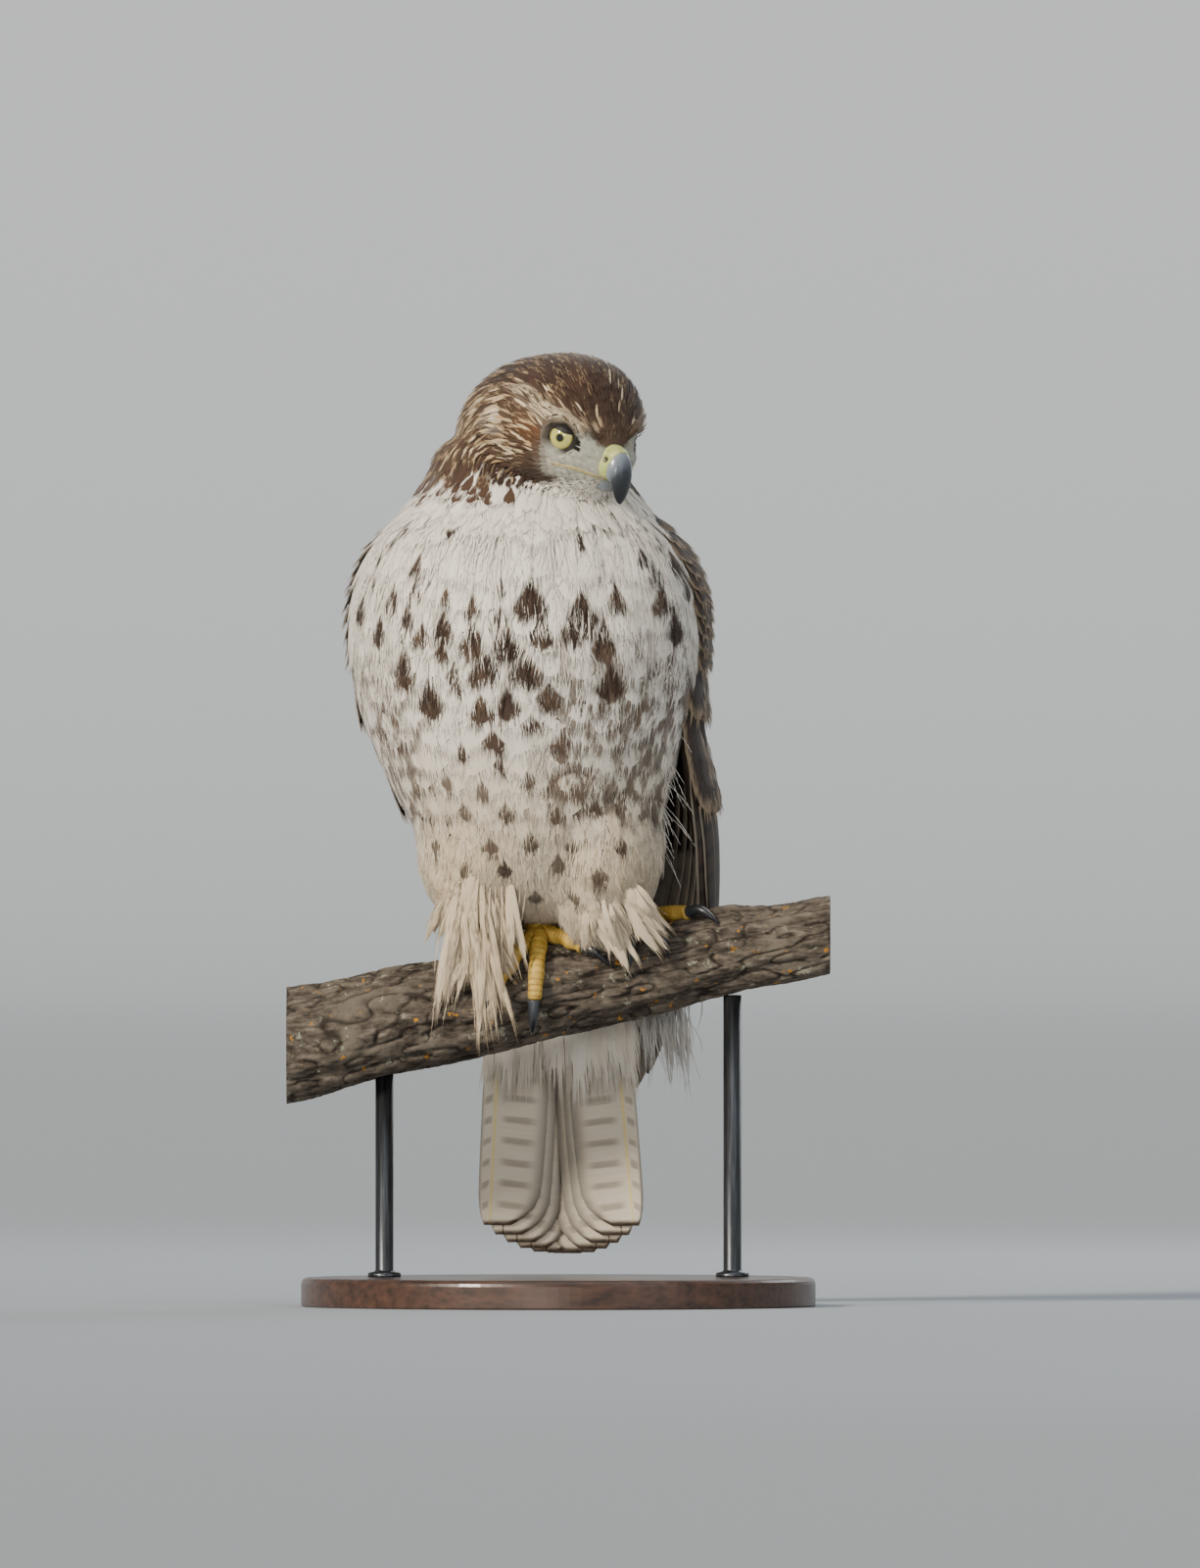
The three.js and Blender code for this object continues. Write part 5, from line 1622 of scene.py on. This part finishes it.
def on_branch(x, angle, off):
    """Point on the branch in the bird's frame: along it, round it from the top forwards, and off its bark."""
    radius = BRANCH_RADIUS + BRANCH_TAPER * x + off
    way = np.stack(np.broadcast_arrays(0 * x, -radius * np.sin(angle), radius * np.cos(angle)), -1)
    return to_bird(branch_middle(x) + way)


def bark_place(x, angle, stretch):
    """Place for the bark's noise, on a plain rod: stretch is how much shorter the rod is made."""
    return np.stack([x * stretch, BRANCH_RADIUS * np.cos(angle), BRANCH_RADIUS * np.sin(angle)], -1)


def bark_radius(x, angle):
    """Radius of the rind with its long swells, one knot, plates and cracks."""
    radius = BRANCH_RADIUS + BRANCH_TAPER * x
    radius = radius + 0.8 * np.sin(7 * angle + 0.03 * x) + 0.5 * np.sin(11 * angle - 0.05 * x)
    radius = radius + 0.9 * np.sin(0.07 * x + angle)
    radius = radius + 3.2 * np.exp(-((x - 92) / 16) ** 2) * np.maximum(0, np.sin(angle + 0.6))
    flat = bark_place(x, angle, PLATE_STRETCH)
    plates = np.abs(noise(flat, 5.5, 11)) + 0.5 * np.abs(noise(flat, 2.6, 12))
    cracks = 1 - rise(plates, 0.02, 0.3)
    grain = noise(bark_place(x, angle, 0.8), 1.4, 13)
    return radius + 0.9 * (plates - 0.35) - 1.5 * cracks + 0.22 * grain


rows, columns = 420, 200
x, angle = np.meshgrid(np.linspace(BRANCH_LEFT, BRANCH_RIGHT, rows), circle(columns), indexing="ij")
radius = bark_radius(x, angle)
rings = branch_middle(x)
rings = rings + np.stack([0 * x, radius * np.cos(angle), radius * np.sin(angle)], -1)
END_SHARES = (0.985, 0.93, 0.7, 0.45, 0.2)
ends = []
for k in (0, -1):
    middle = rings[k].mean(0)
    ends.append(np.stack([middle + (rings[k] - middle) * share for share in END_SHARES]))
rings = np.concatenate([ends[0][::-1], rings, ends[1]])
bark = Finish("bark_finish", roughness=0.92, Specular_IOR_Level=0.2)
here = bark.place()
long_grain = bark.cloud(bark.place((0.35, 1, 1)), 260.0, 6.0, 0.65)
patches = bark.cloud(here, 45.0, 4.0)
tone = bark.ramp(long_grain, [(0.3, "28231e"), (0.46, "4c443b"), (0.6, "6a6055"), (0.78, "948978")])
tone = bark.mix(bark.step(patches, 0.52, 0.66), tone, "6b6256")
lichen = bark.step(bark.cloud(here, 110.0, 5.0, 0.7), 0.6, 0.66)
tone = bark.mix(bark.times(lichen, 0.75), tone, "9a9a86")
spots = bark.step(bark.cloud(bark.place((1.1, 1, 1)), 170.0, 4.0, 0.6), 0.655, 0.69)
tone = bark.mix(bark.times(spots, 0.9), tone, "b27a26")
# The cracks between the plates are painted near-black: painted shade.
tone = bark.mix(bark.attribute("crack_shade", "Fac"), tone, "1c1612")
age = bark.plus(bark.attribute("age", "Fac"), bark.times(bark.cloud(here, 60.0), 0.12))
wood_rings = bark.math("SINE", bark.times(age, 80.0))
wood = bark.ramp(wood_rings, [(0.2, "b09370"), (0.9, "8a6d4e")])
tone = bark.mix(bark.attribute("cut", "Fac"), tone, wood)
bark_material = bark.finish(tone, bump=long_grain, strength=0.6, distance=0.0012)
points, faces = closed_tube(rings)
perch = outwards(new_piece("perch_bark", points, faces, bark_material, "bark"))
# How far into a crack each point lies, as its share of painted shade.
painted_crack_shade = 1 - rise(np.abs(noise(bark_place(x, angle, PLATE_STRETCH), 5.5, 11)), 0.0, 0.14)
blank = np.zeros((len(END_SHARES) + 1, columns))
mark(perch, "crack_shade", np.concatenate([blank, painted_crack_shade * 0.8, blank]).ravel())
mark(perch, "cut", np.concatenate([blank + 1, 0 * painted_crack_shade, blank + 1]).ravel())
age = np.array([0.0, *END_SHARES[::-1]])[:, None] + blank
mark(perch, "age", np.concatenate([age, 0 * painted_crack_shade, age[::-1]]).ravel())
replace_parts(perch, "perch")

# %% [markdown]
# ## Feet
# Each toe is a tube whose upper half carries overlapping scutes: a saw-tooth along the toe that fades at the
# sides. The furrows between the scutes are painted a darker brown as painted shade. The claws are curved
# horns that go from a grey root to a black point.

# %% Legs and claws
CLAW_LENGTH = 21
FEET = {
    "right": {"x": -10, "round": 4, "ankle": [-24, 8, 236],
              "toes": [[-3, -96], [24, 44], [-3, 92], [-24, 70]]},
    "left": {"x": 46, "round": -30, "ankle": [42, 16, 242],
             "toes": [[2, -72], [-5, 76], [9, 66], [26, 44]]},
}
scale_skin = Finish("scale_skin", roughness=0.5, Specular_IOR_Level=0.4)
blotch = scale_skin.cloud(scale_skin.place(), 180.0, 3.0)
tone = scale_skin.ramp(blotch, [(0.3, "b08a35"), (0.7, "cfae55")])
# Darker yellow-brown in the furrows between scutes: painted shade.
tone = scale_skin.mix(scale_skin.attribute("furrow_shade", "Fac"), tone, "7d5a1b")
where = {"Vector": scale_skin.place(), "Scale": 750.0}
pebbles = scale_skin.add("TexVoronoi", where, feature="DISTANCE_TO_EDGE")
scale_material = scale_skin.finish(tone, bump=pebbles, strength=0.35, distance=0.0008)
horn = Finish("horn_finish", roughness=0.3, Coat_Weight=0.25)
streaks = horn.cloud(horn.place(), 420.0, 4.0)
stops = [(0.0, "929aa0"), (0.3, "6a727a"), (0.55, "34373c"), (0.9, "161618")]
tone = horn.ramp(horn.attribute("tip", "Fac"), stops)
tone = horn.mix(0.35, tone, horn.ramp(streaks, [(0.3, 0.25), (0.75, 0.7)]), "OVERLAY")
horn_material = horn.finish(tone, bump=streaks, strength=0.12, distance=0.0005)


def toe_rings(foot, reach, turn):
    """Rings of one toe with scutes above and pads below, and the painted shade of each point in the furrows
    between its scutes.
    """
    share = np.array([0, 0.3, 0.6, 0.85, 1])
    off = TOE_RADIUS * 0.8 + 1 + 3 * (1 - share) ** 2
    angle = (foot["round"] + turn * share) * DEGREE
    path = smooth_path(on_branch(foot["x"] + reach * share, angle, off), 110)
    t, angle = tube_grid(110, 28)
    top = rise(np.cos(angle), -0.35, 0.35)
    saw = (t * 15) % 1
    scute = saw ** 0.5 * rise(1 - saw, 0, 0.18)
    pads = 0.55 * np.cos(6 * np.pi * t) * (1 - top)
    radius = TOE_RADIUS * (1.1 - 0.3 * t) + 0.45 * scute * top + pads
    radius = radius * np.sqrt(np.clip(1 - ((t - 0.93) / 0.075).clip(0, 1) ** 2 * 0.75, 0, 1))
    # Painted shade in the furrows between the scutes on top.
    furrow_shade = (1 - rise(scute, 0.0, 0.5)) * top * 0.8
    return sweep(path, radius, 28, [0, 0, 1]), furrow_shade


def claw_rings(foot, reach, turn):
    """Rings of one claw, bending round towards the bark."""
    length = CLAW_LENGTH / np.hypot(reach, turn * DEGREE * BRANCH_RADIUS)
    share = np.array([0, 0.35, 0.7, 1])
    off = (TOE_RADIUS * 0.8 + 1.4) * (1 - share) + 4.2 * np.sin(np.pi * np.minimum(share, 0.9))
    place = 1 + length * share
    angle = (foot["round"] + turn * place) * DEGREE
    path = smooth_path(on_branch(foot["x"] + reach * place, angle, off), 40)
    t, angle = tube_grid(40, 20)
    radius = (3.3 * (1 - t) ** 0.75 + 0.15) * (1 + 0.12 * np.cos(angle))
    return sweep(path, radius, 20, [0, 0, 1]), np.broadcast_to(0.5 + 0.5 * t, radius.shape)


def leg_rings(foot):
    """Rings of the tarsus from the ankle to the toes' meeting, and the painted shade in the furrows between
    its scutes.
    """
    base = on_branch(np.array(float(foot["x"])), foot["round"] * DEGREE, TOE_RADIUS + 3.4)
    ankle = np.array(foot["ankle"], float)
    path = smooth_path([ankle, (ankle + base) / 2, base], 50)
    t, angle = tube_grid(50, 32)
    saw = (t * 9) % 1
    scute = saw ** 0.5 * rise(1 - saw, 0, 0.15) * rise(np.cos(angle), -0.2, 0.4)
    radius = 5.6 + 2 * t ** 4 + 0.4 * scute
    # Painted shade in the furrows between the scutes on the front of the leg.
    furrow_shade = (1 - rise(scute, 0, 0.5)) * rise(np.cos(angle), -0.2, 0.4) * 0.7
    return sweep(path, radius, 32, [0, -1, 0]), furrow_shade


def joined_tubes(name, tubes, key, material, slot, *nodes):
    """One piece from several closed tubes, with a value on every point."""
    points, faces = gathered(closed_tube(rings) for rings, _ in tubes)
    piece = new_piece(name, points, faces, material, slot, world=False)
    values = [np.concatenate([rows[:1], rows, rows[-1:]]).ravel() for _, rows in tubes]
    mark(piece, key, np.concatenate(values))
    outwards(piece)
    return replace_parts(piece, *nodes)


for name, foot in FEET.items():
    tubes = [leg_rings(foot)] + [toe_rings(foot, *ends) for ends in foot["toes"]]
    joined_tubes("foot_" + name, tubes, "furrow_shade", scale_material, "toe_skin", "leg_" + name)
    for k, ends in enumerate(foot["toes"], 1):
        joined_tubes(f"talon_{name}_{k}", [claw_rings(foot, *ends)], "tip", horn_material, "claw_horn",
                     f"claw_{name}_{k}")

# %% [markdown]
# ## Bill, mouth and eyes
# The bill is lofted between two side profiles, the ridge above and the cutting edge below. Its root is the
# soft cere with a nostril on each side, whose hollow is painted near-black as painted shade. Along each gape
# lies a lip, with a dark line of painted shade in the crease below it. Each eye is a ball with a yellow iris
# and a small pupil, and a dark ring of lid lies round it.

# %% Head parts
CULMEN = np.array([[28, -1], [37, 1.5], [48, -3], [43.5, -31]])
TOMIUM = np.array([[28, -18.9], [34, -19.5], [40.5, -18.5], [42, -31]])
BILL_HALF_WIDTH = 8.2
CERE_SHARE = 0.42


def bezier(points, t):
    """A cubic curve from four points."""
    t = np.asarray(t)[..., None]
    weights = [(1 - t) ** 3, 3 * t * (1 - t) ** 2, 3 * t * t * (1 - t), t ** 3]
    return sum(weight * point for weight, point in zip(weights, points))


def bill_rings(low, high, rows, columns, swell=0.0):
    """Rings of the bill between two shares of its length, narrower at the ridge than at the cutting edge."""
    t = np.linspace(low, high, rows)[:, None]
    angle = circle(columns)[None]
    top, bottom = bezier(CULMEN, t[:, 0]), bezier(TOMIUM, t[:, 0])
    middle, half = (top + bottom) / 2, (top - bottom) / 2
    narrow = np.maximum(0.1, np.sqrt(np.maximum(0, 1 - t ** 3)))
    lift = np.cos(angle)
    shape = np.sign(np.sin(angle)) * np.abs(np.sin(angle)) ** 0.8 * (1 - 0.18 * lift)
    size = 1 + swell / np.linalg.norm(half, axis=1)[:, None]
    across = shape * (BILL_HALF_WIDTH * narrow + swell)
    forward = middle[:, :1] + half[:, :1] * lift * size
    height = middle[:, 1:] + half[:, 1:] * lift * size
    return np.stack([across, -forward, height], -1), np.broadcast_to(t, across.shape)


NOSTRIL = np.array([8, -33.5, -8])
rings, _ = bill_rings(0, CERE_SHARE, 60, 72, 0.4)
mirrored = rings * np.where(rings[..., :1] < 0, np.array([-1, 1, 1]), 1)
gap = (mirrored - NOSTRIL) / np.array([4, 2.6, 2.0])
pit = np.exp(-np.sum(gap ** 2, axis=-1))
fold = 0.25 * np.sin((rings[..., 2] + rings[..., 1]) * 0.9)
rings[..., 0] -= np.sign(rings[..., 0]) * (2.2 * pit - fold * (1 - pit) * 0.5)
# The nostril's hollow is painted near-black where the mask pit is 1: painted shade.
wax_material = grained("cere_finish", "a3aa5c", "c6cc86", 380.0, 4.0, mask="pit", masked="23241a",
                       roughness=0.42, Coat_Weight=0.15, Subsurface_Weight=0.15, Subsurface_Scale=0.002)
joined_tubes("cere_skin", [(from_head(rings), rise(pit, 0.35, 0.8))], "pit", wax_material, "cere", "cere")
rings, share = bill_rings(CERE_SHARE + 0.012, 1, 70, 64)
tip = 0.1 + 0.8 * rise(share, 0.4, 1)
joined_tubes("bill_horn", [(from_head(rings), tip)], "tip", horn_material, "horn", "bill_upper")
path = smooth_path([[0, -20, -23], [0, -31, -23.4], [0, -39.5, -22.2]], 50)
t, angle = tube_grid(50, 36)
radius = (3.4 - 1.6 * t ** 3) * np.sqrt(np.maximum(0, 1 - (2 * t - 1) ** 10)) + 0.05
radius = radius * (1 + 0.5 * np.abs(np.sin(angle)))
rings = sweep(path, radius, 36, [0, 0, 1])
joined_tubes("bill_below", [(from_head(rings), np.broadcast_to(0.15 + 0.4 * t, radius.shape))], "tip",
             horn_material, "horn", "bill_lower")

lip_material = grained("lip_finish", "b09a62", "cfbf86", 500.0, mask="crease_shade", masked="2f2a20",
                       roughness=0.45, Coat_Weight=0.1)
GAPE = [[14, -14.6], [20, -14.9], [25, -15.8], [29, -18], [32, -20.3]]
# Each gape has three tubes: the lip, a dark line a little deeper just below it, which is painted shade in the
# crease of the mouth, and a faintly dark one lower down, also painted shade.
LIPS = ((0.35, 0.5, 0.0), (-0.15, 0.32, 1.0), (-0.6, 0.36, 0.15))
tubes = []
for side in (-1, 1):
    for lift, size, dark in LIPS:
        forward = np.linspace(14, 31.4, 9)
        height = through(GAPE, forward)[0] + lift
        half, top, bottom = through(HEAD, forward)
        level = np.clip((height - (top + bottom) / 2) / ((top - bottom) / 2), -0.98, 0.98)
        out = side * (half * np.sqrt(1 - level ** 2) + 0.15 - 0.2 * dark)
        path = settle(from_head(np.stack([out, -forward, height], -1)), 0.1 - 0.3 * dark, bedded=False)
        path = smooth_path(path, 60)
        t = np.linspace(0, 1, 60)[:, None]
        radius = size * (0.3 + 0.7 * np.sin(np.pi * np.clip(t * 1.1, 0, 1)) ** 0.5) * np.ones((1, 16))
        tubes.append((sweep(path, radius, 16, [0, 0, 1]), np.full(radius.shape, dark)))
joined_tubes("lips", tubes, "crease_shade", lip_material, "cere")

eye = Finish("eye_finish", roughness=0.08, Coat_Weight=1.0, Coat_Roughness=0.02)
polar = eye.parts(eye.attribute("iris"))
spokes = {0: eye.times(polar[1], 9.0), 1: eye.times(polar[0], 2.0)}
fibres = eye.cloud(eye.add("CombineXYZ", spokes), 4.0, 4.0)
tone = eye.ramp(polar[0], [(0.0, "0b0a09"), (0.27, "0b0a09"), (0.3, "7d7a30"), (0.42, "c4bf63"),
                           (0.8, "cdc672"), (0.92, "77712f"), (0.985, "15110d")])
tone = eye.mix(0.4, tone, eye.ramp(fibres, [(0.3, 0.35), (0.7, 0.65)]), "OVERLAY")
eye_material = eye.finish(tone)
IRIS_RADIUS = 7.1
rim = Finish("lid_finish", roughness=0.55)
grain = rim.cloud(rim.place(), 900.0, 3.0)
tone = rim.mix(rim.attribute("outer", "Fac"), "15120f", "2b241e")
rim_material = rim.finish(tone, bump=grain, strength=0.5)
for name, side in SIDES.items():
    look = eye_look(side)
    level = unit(np.cross([0, 0, 1], look))
    upright = np.cross(look, level)
    polar_angle = np.linspace(0.004, np.pi - 0.004, 64)[:, None]
    angle = circle(64)[None]
    ring = level[None, None] * np.cos(angle)[..., None] + upright[None, None] * np.sin(angle)[..., None]
    rings = eye_middle(side) + EYE_RADIUS * (
        np.cos(polar_angle)[..., None] * look + np.sin(polar_angle)[..., None] * ring)
    points, faces = closed_tube(from_head(rings))
    ball_piece = outwards(new_piece("eyeball_" + name, points, faces, eye_material, "eye", world=False))
    outer = np.where(polar_angle < np.pi / 2, np.sin(polar_angle) * EYE_RADIUS / IRIS_RADIUS, 1.5)
    iris = np.stack(np.broadcast_arrays(np.minimum(outer, 1), np.cos(angle), np.sin(angle)), -1)
    iris = np.concatenate([iris[:1], iris, iris[-1:]]).reshape(-1, 3)
    mark(ball_piece, "iris", iris)
    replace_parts(ball_piece, "eye_" + name)
    turn = circle(96)[:, None]
    tube = circle(20)[None]
    ahead, above = np.cos(turn), np.sin(turn)
    inner = 1 / np.sqrt((ahead / 7.3) ** 2 + (above / 6.8) ** 2)
    roof = (3.6 - 1.1 * ahead) / np.maximum(above, 0.15)
    inner = np.where(above > 0.1, soft_min(inner, roof, 1.2), inner)
    outer = 1 / np.sqrt((ahead / 9.4) ** 2 + (above / 8.0) ** 2)
    reach = (inner + outer) / 2 + (outer - inner) / 2 * np.cos(tube)
    depth = np.sqrt(np.maximum(EYE_RADIUS ** 2 - reach ** 2, 1)) + 0.25 + 0.75 * np.sin(tube)
    points = eye_middle(side) + reach[..., None] * (
        -side * ahead[..., None] * level + above[..., None] * upright) + depth[..., None] * look
    faces = grid_faces(96, 20, True, True)
    points = from_head(points.reshape(-1, 3))
    lid = outwards(new_piece("lid_" + name, points, faces, rim_material, "head_feathers", world=False))
    mark(lid, "outer", np.broadcast_to(rise(np.cos(tube), 0.75, 1.0), (96, 20)).ravel())

# %% [markdown]
# ## Stand
# A turned base of dark wood and two thin steel rods carry the branch. Each is a profile of radii and heights
# that is carried round an upright axis.

# %% Stand
ROD_X = 96.0
ROD_RADIUS = 5
BASE_PROFILE = [
    [0.5, 0], [141, 0], [141.6, 0.3], [142, 1], [142, 12.6], [141.6, 14.2], [140.6, 15.4],
    [139, 16], [131, 16], [130, 15.4], [129, 15.4], [128, 16], [0.5, 16],
]
FLANGE_PROFILE = [[ROD_RADIUS, 16.2], [9, 16.2], [9.3, 17], [9, 18.6], [5.6, 19.4], [ROD_RADIUS, 20.2]]


def turned_piece(name, profile, x, columns, material, slot, node, smooth=True):
    """A closed piece from a profile of radii and heights, turned round an upright axis at x."""
    radius, height = np.hsplit(np.array(profile), 2)
    angle = circle(columns)
    rings = np.stack([x + radius * np.cos(angle), radius * np.sin(angle), np.repeat(height, columns, 1)], -1)
    piece = outwards(new_piece(name, *closed_tube(rings), material, slot, smooth=smooth))
    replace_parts(piece, node)


wood_material = grained("base_finish", "2a1c13", "55392a", 240.0, 5.0, 0.6, (0.12, 1, 1), strength=0.1,
                        distance=0.0003, roughness=0.38, Coat_Weight=0.2)
turned_piece("base_turned", BASE_PROFILE, 0, 144, wood_material, "base_wood", "stand_base", smooth=False)
steel_material = grained("rod_finish", "3c3e41", "5f6266", 900.0, stretch=(1, 1, 0.05), strength=0.05,
                         roughness=0.35, Metallic=0.9)
for name, side in SIDES.items():
    x = side * ROD_X
    top = BRANCH_HEIGHT + BRANCH_SLOPE * x - BRANCH_RADIUS + 3
    profile = [*FLANGE_PROFILE, [ROD_RADIUS, top], [3, top + 0.2]]
    turned_piece("rod_" + name, profile, x, 48, steel_material, "rod_metal", "stand_rod_" + name)

# %% [markdown]
# ## Floor, light and camera
# The floor is one sheet that bends up into a backdrop far behind the bird. A warm sun from the front left is
# the key light, and a low sun, a fill, a rim lamp and one from above open the shadows. The camera stands far
# off and looks level, so near and far parts keep their true sizes in the view.

# %% Floor, light and camera
CAMERA_FAR = 20000
VIEW_HEIGHT = 864.9
VIEW_CENTRE = np.array([22.97, 0, 288.2])
SENSOR_HEIGHT = 24
LAMP_AIM = Vector((0, 0, 0.35))
WORLD_STRENGTH = 0.45


def lamp(kind, name, place, power, tint, size):
    """A lamp that looks at the bird: a sun of some angular size, or a square panel in metres."""
    data = bpy.data.lights.new(name, kind)
    data.energy = power
    data.color = tint
    if kind == "SUN":
        data.angle = size
    else:
        data.size = size
    piece = bpy.data.objects.new(name, data)
    bpy.context.scene.collection.objects.link(piece)
    piece.location = place
    piece.rotation_euler = (LAMP_AIM - Vector(place)).to_track_quat("-Z", "Y").to_euler()


lamp("SUN", "key", (-2.3, -2.6, 2.0), 4.1, (1, 0.92, 0.8), 0.2)
lamp("SUN", "top", (0.4, -1.0, 4.0), 0.7, (0.95, 0.97, 1), 0.9)
lamp("AREA", "fill", (2.2, -2.6, 0.7), 18, (0.86, 0.92, 1), 2.0)
lamp("SUN", "low", (-0.6, -4.0, 0.5), 0.9, (1, 0.95, 0.88), 0.3)
lamp("AREA", "rim", (1.4, 2.2, 1.8), 24, (0.95, 0.97, 1), 1.4)
world = bpy.data.worlds.new("world")
world.use_nodes = True
world.node_tree.nodes["Background"].inputs[0].default_value = colour("ccd0d3")
world.node_tree.nodes["Background"].inputs[1].default_value = WORLD_STRENGTH
bpy.context.scene.world = world
data = bpy.data.cameras.new("camera")
data.sensor_fit = "VERTICAL"
data.sensor_height = SENSOR_HEIGHT
data.lens = SENSOR_HEIGHT * CAMERA_FAR / VIEW_HEIGHT
data.clip_end = 100
camera = bpy.data.objects.new("camera", data)
bpy.context.scene.collection.objects.link(camera)
camera.location = (VIEW_CENTRE + np.array([0, -CAMERA_FAR, 0])) * MM
camera.rotation_euler = (np.pi / 2, 0, 0)
bpy.context.scene.camera = camera

FLOOR_HALF = 26000
BACK_START, BACK_RADIUS, BACK_TOP = 26000, 3000, 9000
turn = np.linspace(0, np.pi / 2, 24)
run = np.concatenate([[-FLOOR_HALF, 0], BACK_START + BACK_RADIUS * np.sin(turn), [BACK_START + BACK_RADIUS]])
climb = np.concatenate([[0, 0], BACK_RADIUS * (1 - np.cos(turn)), [BACK_TOP]])
sheet = np.stack([np.stack([np.full(len(run), x), run, climb], -1) for x in (-FLOOR_HALF, FLOOR_HALF)])
floor_finish = Finish("floor_finish", roughness=0.95, Specular_IOR_Level=0.1)
floor_material = floor_finish.finish("a9afb4")
floor = new_piece("floor", sheet.reshape(-1, 3), grid_faces(2, len(run)), floor_material, None)
